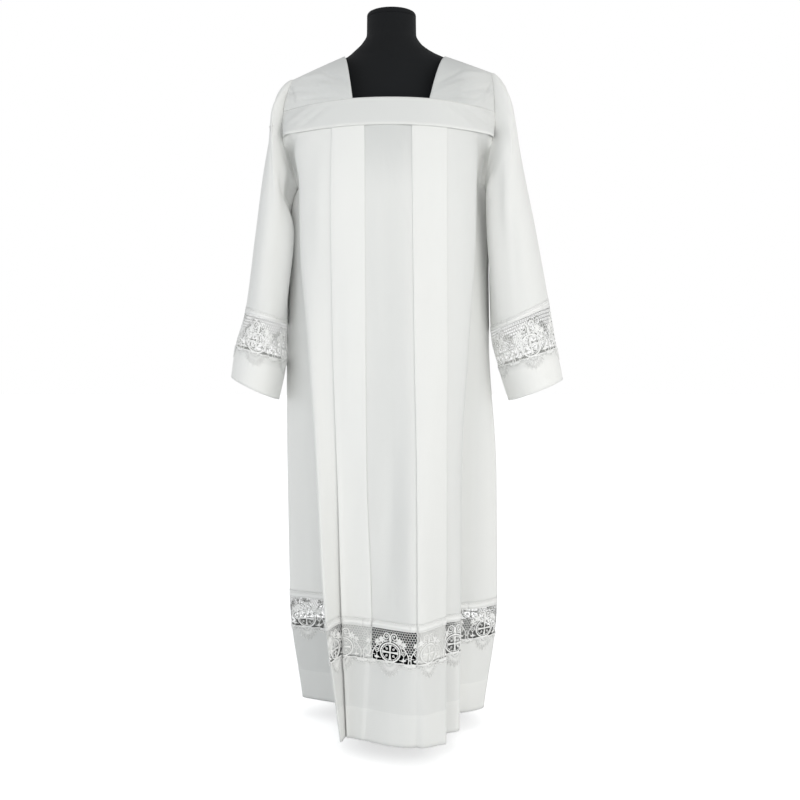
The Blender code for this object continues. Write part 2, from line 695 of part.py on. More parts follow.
def make_form():
    """The padded body, smooth from the neck to the foot of its column."""
    bm = grid_mesh([form_ring(ring) for ring in FORM_RINGS], closed=True)
    bm.verts.ensure_lookup_table()
    bm.faces.new([v for v in bm.verts if v.co.z > FORM_RINGS[0][1] - NEARLY_NOTHING])
    bm.faces.new([v for v in bm.verts if v.co.z < FORM_RINGS[-1][1] + NEARLY_NOTHING])
    bmesh.ops.recalc_face_normals(bm, faces=bm.faces)
    form = new_object("form_body", bm, "black_jersey")
    form.data.shade_smooth()

    _, top_z, radius, _, _, middle_y, _ = FORM_RINGS[0]
    bm = bmesh.new()
    bmesh.ops.create_cone(
        bm,
        cap_ends=True,
        segments=FORM_SIDES,
        radius1=radius,
        radius2=radius - CAP_HEIGHT,
        depth=CAP_HEIGHT,
    )
    cap = new_object("neck_cap", bm, "black_jersey")
    cap.location = (0.0, middle_y, top_z + SEAM + CAP_HEIGHT / 2)
    rounding = cap.modifiers.new("rounding", "BEVEL")
    rounding.width = CAP_ROUNDING
    rounding.segments = 2
    rounding.angle_limit = math.radians(20)
    cap.data.shade_smooth()


def make_base():
    """The flat oval foot that the form stands on."""
    bm = bmesh.new()
    bmesh.ops.create_cone(bm, cap_ends=True, segments=BASE_SIDES, radius1=1.0, radius2=1.0, depth=1.0)
    bmesh.ops.scale(bm, vec=(BASE_HALF_WIDTH, BASE_HALF_DEPTH, BASE_HEIGHT), verts=bm.verts)
    base = new_object("base", bm, "black_lacquer")
    base.location = (0.0, BASE_MIDDLE_Y, BASE_HEIGHT / 2)
    edge = base.modifiers.new("edge", "BEVEL")
    edge.width = BASE_EDGE
    edge.segments = 2
    edge.angle_limit = math.radians(40)


# ---------------------------------------------------------------- the whole
def clear_scene():
    """Start with no objects at all."""
    for obj in list(bpy.data.objects):
        bpy.data.objects.remove(obj, do_unlink=True)


def main():
    """Build the dress form, then the robe on it."""
    clear_scene()
    collection = bpy.data.collections.new("alb_robe")
    bpy.context.scene.collection.children.link(collection)
    make_form()
    make_base()
    for face in ("front", "back"):
        make_panel(face)
        make_band(face)
        make_hem(face)
    for side in ("left", "right"):
        make_shoulder(side)
        make_sleeve(side)


main()
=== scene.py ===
"""Pleated alb robe on a black dress form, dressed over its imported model: cloth, lace and sewing."""

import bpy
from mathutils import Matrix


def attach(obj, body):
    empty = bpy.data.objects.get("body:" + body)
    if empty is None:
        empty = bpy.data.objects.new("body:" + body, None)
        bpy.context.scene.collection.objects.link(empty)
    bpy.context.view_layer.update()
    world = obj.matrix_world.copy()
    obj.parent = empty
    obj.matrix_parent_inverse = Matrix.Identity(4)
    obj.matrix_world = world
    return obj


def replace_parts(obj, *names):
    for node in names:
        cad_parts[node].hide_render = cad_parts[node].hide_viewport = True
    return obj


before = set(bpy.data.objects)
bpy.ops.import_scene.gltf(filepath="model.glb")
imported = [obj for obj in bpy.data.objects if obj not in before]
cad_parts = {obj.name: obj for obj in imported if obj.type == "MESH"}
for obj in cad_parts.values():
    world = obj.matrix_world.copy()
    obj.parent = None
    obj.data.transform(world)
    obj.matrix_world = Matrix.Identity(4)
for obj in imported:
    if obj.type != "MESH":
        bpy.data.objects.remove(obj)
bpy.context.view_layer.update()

import math

import bmesh
import bpy
import numpy as np
from mathutils import Vector

bl_info = {
    "name": "Pleated Alb Robe",
    "version": (1, 0, 0),
    "blender": (4, 5, 0),
    "location": "3D View > Sidebar > Alb Robe",
    "description": "Builds a pleated alb with inset lace bands on a black dress form",
    "category": "Add Mesh",
}

# ------------------------------------------------------------------ the robe's cut and its folds
SEAM = 0.0003  # gap between two pieces that are sewn together
HEM_Z = 0.040
HEM_TURN = 0.064  # height of the hem's turned-up edge
LACE_LOW_Z = 0.197
LACE_TOP_Z = 0.271
LACE_FOOT_Z = 0.203  # the drawn lace's foot, a little over its band's lower edge
UNDERARM_Z = 1.155
THICKNESS = {
    "body": 0.0007, "sleeve": 0.0007, "hem": 0.0008, "shoulder": 0.0010, "cuff": 0.0010,
    "band": 0.0016, "lining": 0.0004,
}
DOUBLED = 0.0004  # how far a doubled or felled part stands proud
LIGHT_SHEET_DEPTH = 0.0018  # how far behind the lace its white sheet lies
OBLONG = 0.97  # a cut that fills more than this of its oblong keeps no area of its own

FRONT_LEVELS = (1.268, 1.232, 1.155, 1.030, 0.850, 0.550, 0.271, 0.040)
BACK_LEVELS = (1.314, 1.155, 0.850, 0.550, 0.271, 0.040)

# Each fold line: its x at those heights, then its y at the same ones.
FRONT_FOLDS = {
    "side_left": ((-0.226, -0.2159, -0.2, -0.2054, -0.217, -0.222, -0.223, -0.196),
                  (-0.05, -0.0319, 0.0, 0.018, 0.03, 0.03, 0.03, 0.045)),
    "flank_left": ((-0.222, -0.2185, -0.199, -0.199, -0.194, -0.184, -0.176, -0.162),
                   (-0.06, -0.012, -0.016, -0.036, -0.032, -0.008, 0.001, 0.022)),
    "valley_left": ((-0.211, -0.204, -0.189, -0.1855, -0.162, -0.137, -0.118, -0.11),
                    (-0.077, -0.03, -0.042, -0.052, -0.062, -0.045, -0.025, -0.012)),
    "crest_left": ((-0.19, -0.1985, -0.19, -0.1875, -0.17, -0.147, -0.126, -0.099),
                   (-0.087, -0.081, -0.092, -0.108, -0.15, -0.208, -0.265, -0.235)),
    "pleat_left_outer": ((-0.123, -0.1234, -0.124, -0.1229, -0.119, -0.108, -0.0985, -0.088),
                         (-0.109, -0.1154, -0.128, -0.1416, -0.158, -0.184, -0.21, -0.204)),
    "pleat_left_inner": ((-0.056, -0.0557, -0.055, -0.0542, -0.053, -0.049, -0.039, -0.052),
                         (-0.121, -0.1262, -0.137, -0.1525, -0.173, -0.203, -0.234, -0.23)),
    "centre": ((-0.006, -0.0053, -0.004, -0.0021, 0.0, 0.002, 0.006, -0.001),
               (-0.125, -0.1301, -0.141, -0.158, -0.182, -0.222, -0.262, -0.259)),
    "pleat_right_inner": ((0.042, 0.0421, 0.0425, 0.0433, 0.045, 0.0495, 0.05, 0.049),
                          (-0.121, -0.1264, -0.138, -0.1582, -0.188, -0.236, -0.28, -0.266)),
    "pleat_right_outer": ((0.114, 0.1136, 0.113, 0.1128, 0.1125, 0.1095, 0.1075, 0.107),
                          (-0.11, -0.1156, -0.127, -0.1421, -0.162, -0.194, -0.206, -0.19)),
    "crest_right": ((0.168, 0.176, 0.1745, 0.1715, 0.16, 0.1415, 0.1376, 0.135),
                    (-0.091, -0.088, -0.092, -0.104, -0.132, -0.16, -0.184, -0.172)),
    "valley_right": ((0.186, 0.182, 0.1735, 0.17, 0.152, 0.131, 0.128, 0.13),
                     (-0.079, -0.044, -0.046, -0.052, -0.07, -0.085, -0.105, -0.075)),
    "flank_right": ((0.201, 0.199, 0.189, 0.188, 0.186, 0.18, 0.176, 0.165),
                    (-0.068, -0.01, -0.008, -0.02, -0.036, -0.062, -0.09, -0.055)),
    "side_right": ((0.22, 0.2134, 0.203, 0.203, 0.203, 0.2235, 0.2245, 0.197),
                   (-0.05, -0.0316, 0.0, 0.0135, 0.022, -0.012, -0.04, -0.028)),
}
BACK_FOLDS = {
    "side_left": ((-0.226, -0.2, -0.217, -0.222, -0.223, -0.196),
                  (-0.05, 0.0, 0.03, 0.03, 0.03, 0.045)),
    "flank_left": ((-0.212, -0.203, -0.199, -0.200, -0.196, -0.176),
                   (0.058, 0.030, 0.066, 0.080, 0.084, 0.092)),
    "valley_left": ((-0.196, -0.199, -0.166, -0.143, -0.130, -0.121),
                    (0.066, 0.052, 0.078, 0.084, 0.088, 0.092)),
    "crest_left": ((-0.172, -0.190, -0.174, -0.154, -0.142, -0.130),
                   (0.076, 0.078, 0.132, 0.172, 0.204, 0.198)),
    "pleat_left_outer": ((-0.122, -0.122, -0.117, -0.109, -0.102, -0.098),
                         (0.090, 0.110, 0.146, 0.172, 0.192, 0.196)),
    "pleat_left_inner": ((-0.053, -0.053, -0.052, -0.049, -0.044, -0.046),
                         (0.098, 0.119, 0.162, 0.196, 0.220, 0.224)),
    "centre": ((0.000, 0.000, -0.002, -0.004, -0.006, -0.004),
               (0.100, 0.122, 0.168, 0.206, 0.234, 0.238)),
    "pleat_right_inner": ((0.053, 0.053, 0.051, 0.049, 0.047, 0.046),
                          (0.098, 0.119, 0.164, 0.198, 0.226, 0.228)),
    "pleat_right_outer": ((0.122, 0.122, 0.116, 0.108, 0.104, 0.100),
                          (0.090, 0.110, 0.148, 0.176, 0.200, 0.198)),
    "crest_right": ((0.172, 0.188, 0.170, 0.150, 0.140, 0.132),
                    (0.076, 0.078, 0.132, 0.170, 0.206, 0.200)),
    "valley_right": ((0.196, 0.199, 0.160, 0.138, 0.128, 0.124),
                     (0.066, 0.052, 0.076, 0.080, 0.084, 0.088)),
    "flank_right": ((0.209, 0.203, 0.190, 0.196, 0.192, 0.178),
                    (0.058, 0.030, 0.062, 0.068, 0.066, 0.070)),
    "side_right": ((0.22, 0.203, 0.203, 0.2235, 0.2245, 0.197),
                   (-0.05, 0.0, 0.022, -0.012, -0.04, -0.028)),
}
FOLD_ORDER = tuple(FRONT_FOLDS)

# How far a pleat's strip stands off the cloth behind it at each height, at its two edges.
LIFT_LEVELS = (1.314, 1.155, 0.850, 0.550, 0.271, 0.040)
PRESSED_LIFT = (0.0018, 0.0018, 0.0020, 0.0024, 0.0030, 0.0022)
LOOSE_LIFT = (0.0018, 0.0019, 0.0028, 0.0050, 0.0090, 0.0100)
OPEN_LIFT = (0.0018, 0.0019, 0.0032, 0.0070, 0.0140, 0.0600)
FRONT_LIFTS = {"pleat_left": (PRESSED_LIFT, LOOSE_LIFT), "pleat_right": (PRESSED_LIFT, OPEN_LIFT)}
BACK_LIFTS = {"pleat_left": (PRESSED_LIFT, LOOSE_LIFT), "pleat_right": (PRESSED_LIFT, LOOSE_LIFT)}

# Points between each two folds, where 0 stands for a pleat's strip.
STRETCH_POINTS = (12, 9, 14, 12, 0, 14, 14, 0, 12, 10, 10, 12)
PAINTED_TONES = {  # how white each fold line is painted: single cloth over the dark form is painted greyer, as if the form showed through, and the shaded side folds are painted lighter against their shade
    "front": (1.00, 0.92, 0.74, 0.76, 0.80, 0.64, 0.56, 0.64, 0.64, 0.50, 0.56, 0.60, 1.00),
    "back": (0.60, 0.60, 0.62, 0.78, 0.80, 0.67, 0.62, 0.67, 0.78, 0.72, 0.64, 0.62, 0.60),
}
STRIP_PAINTED_TONE = {"left": 0.88, "right": 0.80}  # painted tone of the doubled strip of each pleat, whiter than single cloth
# painted tone of each white sheet behind the lace: the left one painted greyer as shade
LIGHT_SHEET_TONE = {"left": 0.34, "right": 1.0}
RECESS_WHITE = 0.7  # a column less white than this is single cloth
RECESS_REACH = 0.08  # how far from the middle the recess between the strips reaches
UNDER_BAND = (1.11, 1.27)  # heights between which painted shade grows on the cloth towards the band
# how much painted shade lies under the band: most on the recess, a little elsewhere
UNDER_BAND_PAINTED_SHADE = {"recess": 0.40, "rest": 0.08}
HEM_TURN_ROW = 12  # rows of the hem and of a cuff at which they turn double
CUFF_TURN_ROW = 3
# painted tone of the hem: single cloth painted greyer, the doubled turn whiter
HEM_PAINTED_TONE = {"single": 0.55, "doubled": 0.70}
# painted tone of a cuff's doubled part, whiter than the single sleeve
CUFF_PAINTED_TONE = 0.96
SHOULDER_PAINTED_SHADE = {"left": (0.20, 0.56), "right": (-0.24, 0.34)}  # painted shade of each shoulder, at the neck and near the armhole; the right one darker
UNDER_ARM = {  # how much further out the sides stand than their seams: height, then distance
    "left": (
        (1.155, 0.0), (1.138, 0.0088), (1.116, 0.0146), (1.085, 0.0156), (1.040, 0.0136),
        (0.970, 0.0118), (0.860, 0.0118), (0.600, 0.0068), (0.300, 0.0),
    ),
    "right": (
        (1.155, 0.0), (1.138, 0.0050), (1.116, 0.0072), (1.085, 0.0082), (1.040, 0.0082),
        (0.970, 0.0080), (0.860, 0.0098), (0.600, 0.0030), (0.300, 0.0),
    ),
}
UNDER_ARM_COLUMNS = (24, 2)  # columns from the side seam over which that fullness fades
WANDER_FADE = (1.30, 1.15)  # heights between which the cloth's unevenness sets in
CREASE_FADE = {"front": (1.262, 1.22), "back": (1.308, 1.22)}
CALM_EDGE = 0.03  # width beside the side seams where creases fade
TUCK = 0.47  # how far a pleat is tucked in under its strip, as a share of the strip's width
TURN_OF_LIFT = 0.25  # radius of a fold's round edge, as a share of the strip's lift
TURN_MOST = 0.1  # its limit, as a share of the strip's width
TUCK_POINTS = 5
TURN_PARTS = 7
STRIP_SHARES = (0.16, 0.25, 0.34, 0.42)  # points on the strip's outer half
OPEN_PARTS = 28  # parts across a pleat whose inner edge lies open

# Rows of a panel: height at the middle, and at the armhole or side seam.
ROWS_ABOVE = 8  # rows drawn between two of these above the underarm
ROWS_BELOW = 14
FRONT_ROWS = (
    (1.2725, 1.259), (1.227, 1.215), (1.186, 1.180), (UNDERARM_Z, UNDERARM_Z),
    (1.060, 1.060), (0.900, 0.900), (0.720, 0.720), (0.500, 0.500), (LACE_TOP_Z, LACE_TOP_Z),
)
BACK_ROWS = (
    (1.314, 1.304), (1.264, 1.256), (1.206, 1.203), (UNDERARM_Z, UNDERARM_Z),
    (1.060, 1.060), (0.900, 0.900), (0.720, 0.720), (0.500, 0.500), (LACE_TOP_Z, LACE_TOP_Z),
)
FRONT_BAND = {"top_middle_z": 1.327, "top_end_z": 1.314, "top_middle_y": -0.120}
BACK_BAND = {"top_middle_z": 1.370, "top_end_z": 1.360, "top_middle_y": 0.086}
BAND_FULLNESS = 2.5
BAND_ROWS = 13
BAND_COLUMNS = 91
BAND_PROUD = 0.0010  # how far the band's lower edge clears the pleats' heads
BAND_LIP = 0.0028  # depth of its turned lower edge
HEADS_NEAR = 0.006  # how near the pleats' heads count at a place on the band
PUCKER = 0.0004
NECK_CORNER_X = {"left": -0.080, "right": 0.078}
BACK_CORNER_X = {"left": -0.084, "right": 0.088}
SHOULDER_NECK = {"left": (-0.104, 0.0, 1.436), "right": (0.122, 0.0, 1.436)}

# Rings of a sleeve: outer x, outer z, inner x, inner z, half depth, swell, middle y.
SLEEVE_RINGS = {
    "left": (
        (-0.211, 1.391, -0.200, 1.155, 0.042, 0.0275, 0.006),
        (-0.230, 1.377, -0.2075, 1.138, 0.058, 0.0240, 0.001),
        (-0.246, 1.350, -0.2150, 1.116, 0.068, 0.0190, 0.000),
        (-0.259, 1.285, -0.2185, 1.085, 0.071, 0.0100, -0.002),
        (-0.276, 1.190, -0.2205, 1.040, 0.073, 0.0, -0.004),
        (-0.293, 1.050, -0.2225, 0.970, 0.074, 0.0, -0.010),
        (-0.3135, 0.888, -0.2240, 0.862, 0.074, 0.0, -0.018),
        (-0.333, 0.817, -0.2265, 0.784, 0.074, 0.0, -0.020),
        (-0.342, 0.751, -0.242, 0.702, 0.074, 0.0, -0.022),
    ),
    "right": (
        (0.215, 1.406, 0.203, 1.155, 0.042, 0.0100, 0.006),
        (0.233, 1.390, 0.2090, 1.138, 0.058, 0.0180, 0.001),
        (0.248, 1.362, 0.211, 1.116, 0.068, 0.0190, 0.000),
        (0.267, 1.290, 0.212, 1.085, 0.071, 0.0100, -0.002),
        (0.286, 1.190, 0.212, 1.040, 0.073, 0.0, -0.004),
        (0.311, 1.060, 0.2115, 0.970, 0.074, 0.0, -0.010),
        (0.338, 0.904, 0.2135, 0.847, 0.074, 0.0, -0.018),
        (0.353, 0.8135, 0.230, 0.772, 0.074, 0.0, -0.020),
        (0.366, 0.746, 0.252, 0.700, 0.074, 0.0, -0.022),
    ),
}
SLEEVE_COLUMNS = 96
SHOULDER_COLUMNS = 41
SHOULDER_STEPS = 56  # rows from a band to the top of the shoulder
SHOULDER_TUCK = 0.003  # how far a shoulder's end goes down behind a band
HOLLOW = {"left": 0.0, "right": 1.6}  # how much the lower half of an armhole curves in
LACE_TOP_RING = 6  # the sleeve's lace lies between these two rings
LACE_LOW_RING = 7
CUFF_RING = 8
CAP_PUFF = 0.0026  # fullness over the top of a sleeve
FELL_INWARD = 0.0016  # how far a sleeve's first row lies in over the shoulder
CUFF_LACE_TURN = 0.14  # how far round the cuff its lace begins, in turns

# Dress form: height, reach to the left, to the right, half depth, its middle's place, and fullness.
FORM_RINGS = (
    (1.5240, 0.0530, 0.0530, 0.0530, 0.012, 2.0),
    (1.4880, 0.0535, 0.0535, 0.0540, 0.010, 2.0),
    (1.4680, 0.0640, 0.0640, 0.0570, 0.008, 1.9),
    (1.4495, 0.0840, 0.0880, 0.0562, 0.003, 1.7),
    (1.4346, 0.1040, 0.1205, 0.0575, 0.000, 1.5),
    (1.4186, 0.1421, 0.1700, 0.0600, -0.001, 1.5),
    (1.4066, 0.1706, 0.1960, 0.0630, -0.002, 1.5),
    (1.3950, 0.1880, 0.2040, 0.0670, -0.004, 1.6),
    (1.3700, 0.1960, 0.2060, 0.0755, -0.006, 1.7),
    (1.3200, 0.1930, 0.1970, 0.0960, -0.008, 1.9),
    (1.2600, 0.1800, 0.1800, 0.1030, -0.010, 2.1),
    (1.1900, 0.1660, 0.1660, 0.1060, -0.012, 2.2),
    (1.1000, 0.1480, 0.1480, 0.1040, -0.008, 2.1),
    (1.0000, 0.1340, 0.1340, 0.0980, 0.000, 2.0),
    (0.9000, 0.1400, 0.1400, 0.1020, 0.008, 2.1),
    (0.8000, 0.1440, 0.1440, 0.1060, 0.014, 2.2),
    (0.7000, 0.1320, 0.1320, 0.1040, 0.020, 2.1),
    (0.6000, 0.1120, 0.1120, 0.0980, 0.026, 2.0),
    (0.4800, 0.0980, 0.0980, 0.0920, 0.030, 2.0),
    (0.0303, 0.0950, 0.0900, 0.0900, 0.030, 2.0),
)
FORM_LEVELS = 800  # fine heights at which the form is smoothed
SMOOTHING = 17  # of them that each pass averages
SMOOTH_BELOW = (1.452, 0.05)  # the smoothing sets in from this height down, over this length
NECK_CLEARANCE = (0.005, 1.430, 0.020)  # how much narrower on the left, at a height, over a span
CAP_PROFILE = (  # share of the radius, and rise
    (1.0, SEAM), (1.0, 0.0052), (0.985, 0.0085), (0.945, 0.0112), (0.88, 0.0130), (0.78, 0.0144),
    (0.60, 0.0155), (0.35, 0.0160),
)
FOOT_HALF_WIDTH = 0.112
FOOT_HALF_DEPTH = 0.140
FOOT_MIDDLE_Y = 0.072
FOOT_PROFILE = (  # share of the half sizes, and height
    (0.955, 0.030), (0.975, 0.0288), (0.990, 0.0262), (1.0, 0.0225), (1.0, 0.0060),
    (0.990, 0.0024), (0.975, 0.0), (0.90, 0.0),
)

# Soft creases of the body: x and z of the upper end, x and z of the lower end, half width, and how
# far it stands out (a ridge) or sinks in (a trough).
FRONT_CREASES = (
    (0.004, 0.640, -0.008, 0.290, 0.016, -0.0050),
    (0.034, 0.560, 0.030, 0.300, 0.014, 0.0030),
    (-0.020, 1.240, 0.012, 1.090, 0.012, -0.0016),
    (0.018, 1.262, 0.028, 1.160, 0.008, 0.0014),
    (-0.034, 1.150, -0.026, 0.800, 0.012, 0.0016),
    (-0.088, 1.000, -0.082, 0.500, 0.018, 0.0018),
    (0.080, 1.180, 0.076, 0.640, 0.020, -0.0018),
    (-0.146, 1.240, -0.150, 0.960, 0.012, 0.0022),
    (0.136, 1.230, 0.142, 1.000, 0.012, 0.0020),
    (0.150, 0.960, 0.128, 0.560, 0.014, -0.0024),
    (-0.140, 0.780, -0.120, 0.360, 0.012, -0.0022),
)
BACK_CREASES = (
    (0.010, 0.700, -0.004, 0.300, 0.018, -0.0050),
    (-0.030, 1.280, -0.020, 1.060, 0.012, 0.0018),
    (0.028, 1.200, 0.030, 0.820, 0.014, -0.0018),
    (-0.090, 1.120, -0.080, 0.560, 0.018, 0.0020),
    (0.084, 1.060, 0.078, 0.420, 0.020, -0.0020),
    (-0.150, 1.240, -0.152, 0.900, 0.014, 0.0026),
    (0.148, 1.220, 0.150, 0.860, 0.014, 0.0024),
    (-0.150, 0.820, -0.136, 0.320, 0.014, -0.0026),
    (0.152, 0.780, 0.134, 0.340, 0.012, -0.0022),
)
# Creases of a sleeve: turn round it (a quarter is its front) and ring at the upper and the lower
# end, half width in turns, and height.
SLEEVE_CREASES = {
    "left": (
        (0.20, 0.5, 0.22, 4.2, 0.030, -0.0035),
        (0.31, 0.3, 0.32, 4.6, 0.034, 0.0034),
        (0.12, 0.4, 0.13, 3.2, 0.025, 0.0030),
        (0.40, 2.6, 0.40, 6.0, 0.046, 0.0200),
        (0.345, 0.1, 0.375, 2.8, 0.020, 0.0050),
        (0.42, 0.1, 0.435, 2.2, 0.034, -0.0110),
        (0.06, 2.0, 0.08, 5.8, 0.030, -0.0022),
        (0.27, 4.2, 0.24, 6.0, 0.040, -0.0022),
        (0.90, 0.6, 0.88, 4.4, 0.030, -0.0035),
        (0.74, 1.0, 0.72, 5.2, 0.040, 0.0032),
        (0.64, 1.8, 0.66, 4.8, 0.030, -0.0034),
    ),
    "right": (
        (0.18, 0.4, 0.20, 3.6, 0.028, -0.0032),
        (0.29, 0.4, 0.28, 4.8, 0.034, 0.0034),
        (0.365, 0.1, 0.385, 2.6, 0.020, 0.0044),
        (0.44, 0.1, 0.45, 1.8, 0.032, -0.0090),
        (0.10, 0.6, 0.12, 4.0, 0.024, 0.0028),
        (0.40, 1.0, 0.40, 6.2, 0.050, 0.0170),
        (0.07, 2.4, 0.06, 5.6, 0.030, -0.0024),
        (0.25, 4.0, 0.27, 6.0, 0.036, -0.0026),
        (0.88, 0.5, 0.90, 4.2, 0.030, -0.0030),
        (0.76, 1.2, 0.74, 5.0, 0.040, 0.0030),
        (0.62, 1.6, 0.64, 4.4, 0.030, -0.0034),
    ),
}
# Creases of a shoulder piece: share from the neck to the armhole and share from the front band to
# the back one, at both ends, half width as a share, and height.
SHOULDER_CREASES = (
    (0.00, 0.03, 0.50, 0.17, 0.018, 0.0040),
    (0.02, 0.09, 0.42, 0.25, 0.020, -0.0040),
    (0.06, 0.01, 0.80, 0.07, 0.016, -0.0030),
    (0.30, 0.20, 0.90, 0.33, 0.030, 0.0034),
    (0.40, 0.06, 0.95, 0.19, 0.022, -0.0030),
    (0.66, 0.01, 0.97, 0.16, 0.020, 0.0040),
    (0.80, 0.04, 0.99, 0.28, 0.018, -0.0040),
    (0.04, 0.96, 0.60, 0.82, 0.022, 0.0034),
    (0.20, 0.91, 0.90, 0.74, 0.026, -0.0032),
)
# Creases of a band, laid out like the body's, with heights counted from its lower edge.
BAND_CREASES = (
    (0.105, 0.052, 0.180, 0.004, 0.008, 0.0026),
    (0.140, 0.056, 0.212, 0.018, 0.007, -0.0024),
    (0.176, 0.058, 0.222, 0.034, 0.006, 0.0020),
    (-0.130, 0.050, -0.196, 0.006, 0.008, -0.0022),
    (-0.166, 0.054, -0.224, 0.020, 0.007, 0.0024),
    (0.020, 0.044, 0.046, 0.010, 0.009, -0.0008),
    (-0.070, 0.048, -0.050, 0.008, 0.010, 0.0008),
)

# ------------------------------------------------------------------ the lace's pattern
# Places on one repeat: across from its medallion's middle, and up from its foot.
REPEAT = 0.0857
NET_TOP = 0.0640  # lower edge of its heading
NET_LOW = {  # how far down the net reaches, by the distance from the medallion's middle
    "over": (0.0205, 0.0400),
    "beside": ((0.0205, 0.0305, 0.0378, 0.0405, 0.0429), (0.033, 0.0285, 0.02, 0.01, 0.004)),
}
NET_FIRST_ROW = 0.0625
NET_HEIGHT = 0.060
NET_LIMIT = 0.066
MEDALLION = (0.0, 0.0195)
CROSS = ((0, 1, 0.0138), (0, -1, 0.0138), (1, 0, 0.0168), (-1, 0, 0.0168))  # way and reach
CROSS_WIDTHS = [0.0028, 0.0028, 0.0038, 0.0060]
SPOKES = 22
VOLUTE = (0.0088, 0.0495)
VOLUTE_CLEAR = 0.0062  # radius round it that the net leaves free
LEAVES = (  # foot of each spray, reach and width of its leaves, and their turns in degrees
    ((0.0200, 0.0425), 0.0082, 0.0046, (10, 72, 130, 190, 250, 310)),
    ((0.0300, 0.0365), 0.0066, 0.0042, (-20, 40, 100, 170, 240)),
    ((0.0300, 0.0060), 0.0062, 0.0042, (20, 90, 160)),
)
SPRAY_TURN = 6
ARC = (
    (0.0205, 0.0325), (0.0262, 0.0312), (0.0310, 0.0284), (0.0350, 0.0243), (0.0379, 0.0196),
    (0.0398, 0.0146), (0.0405, 0.0090), (0.0402, 0.0040), (0.0394, 0.0),
)
BERRY = (0.0300, 0.0205)
TIES = (
    ((0.0300, 0.0060), (0.0296, 0.0)), ((0.0300, 0.0110), (0.0300, 0.0166)),
    ((0.0262, 0.0200), (0.0238, 0.0190)), ((0.0338, 0.0212), (0.0368, 0.0212)),
    ((0.0340, 0.0110), (0.0398, 0.0120)), ((0.0400, 0.0170), (0.0428, 0.0180)),
    ((0.0406, 0.0080), (0.0428, 0.0084)), ((0.0240, 0.0060), (0.0205, 0.0070)),
    ((0.0232, 0.0330), (0.0224, 0.0362)), ((0.0310, 0.0290), (0.0304, 0.0330)),
)
FAN_SPREAD = 74  # degrees to each side
FAN_LOOPS = 9
FAN_REACH = 0.0285
SPRIGS = ((-0.0350, 0.0075), (0.0350, 0.0075), (-REPEAT / 2, 0.0095))  # place across, and reach
HEADING = ((0.0644, 0.55, 0.8), (0.0756, 0.5, 0.7))  # height of a cord, shares of width and relief
BRAID = (0.0700, 0.0096, 0.45)  # height, width, share of relief
ZIGZAG = (0.0664, 0.0732)
TEETH = 26
PICOTS = 18
FANS_PROUD = 0.0016  # how far the fans stand off the cloth below the lace
HEADING_PROUD = 0.0006
OVER_HEADING = 0.018  # how far the ground that the hem lace lies on goes past its band
UNDER_FANS = 0.034
CUFF_REPEATS = 5
CUFF_FANS_RISE = 0.078  # lace height for each ring of the sleeve: fans, net and heading
CUFF_HEADING_RISE = 0.14

# ------------------------------------------------------------------ sewing
STITCH_SHARE = 0.74  # length of a stitch, as a share of the distance from one to the next
STITCH_LIFT = 0.0007
BAND_STITCH_LIFT = 0.0010
STITCH_IN = 0.8  # rows from a band's upper edge
STITCH_UNDER = 0.6  # rows under the upper edge of a turned-up part

# ------------------------------------------------------------------ looks
RIB_PITCH = 0.0013  # of the jersey
COURSE_PITCH = 0.0010
COLOURS = {
    "cotton": (0.875, 0.877, 0.857),
    "cotton_shade": (0.592, 0.604, 0.596),
    "lace": (0.930, 0.932, 0.915),
    "thread": (0.900, 0.905, 0.890),
    "jersey": (0.0040, 0.0046, 0.0054),
    "lacquer": (0.010, 0.010, 0.011),
    "floor": (0.940, 0.945, 0.950),
}
FLOOR_CORNERS = ((-12.0, -9.0), (12.0, -9.0), (12.0, 15.0), (-12.0, 15.0))
ROOM_COLOUR = (0.985, 0.995, 1.0, 1.0)
LAMPS = (  # name, place, target, size and colour
    ("key", (1.7, -2.7, 1.5), (0.0, 0.0, 0.85), 2.2, (1.0, 0.98, 0.94)),
    ("fill", (-2.2, -2.4, 1.2), (0.0, 0.0, 0.80), 2.4, (0.90, 0.95, 1.0)),
)
EYE = (0.0, -2.4, 0.8235)
SENSOR_WIDTH = 36.0
LENS = 49.9
PIXELS = 800  # across a render, whose middle is shifted by the two below
PIXELS_ASIDE = 8.5
PIXELS_DOWN = 57.5


# ------------------------------------------------------------------ shader maths
class Amount:
    """A socket of a material that can be reckoned with: each operator adds a Math node."""

    def __init__(self, finish, socket):
        self.finish = finish
        self.socket = socket

    def maths(self, operation, *values):
        return self.finish.node("ShaderNodeMath", {"operation": operation}, values)

    def __add__(self, other):
        return self.maths("ADD", self, other)

    def __radd__(self, other):
        return self.maths("ADD", other, self)

    def __sub__(self, other):
        return self.maths("SUBTRACT", self, other)

    def __rsub__(self, other):
        return self.maths("SUBTRACT", other, self)

    def __mul__(self, other):
        return self.maths("MULTIPLY", self, other)

    def __rmul__(self, other):
        return self.maths("MULTIPLY", other, self)

    def sine(self):
        return self.maths("SINE", self)

    def size(self):
        return self.maths("ABSOLUTE", self)

    def beside(self, out):
        """Another output of the same node."""
        return Amount(self.finish, self.socket.node.outputs[out])


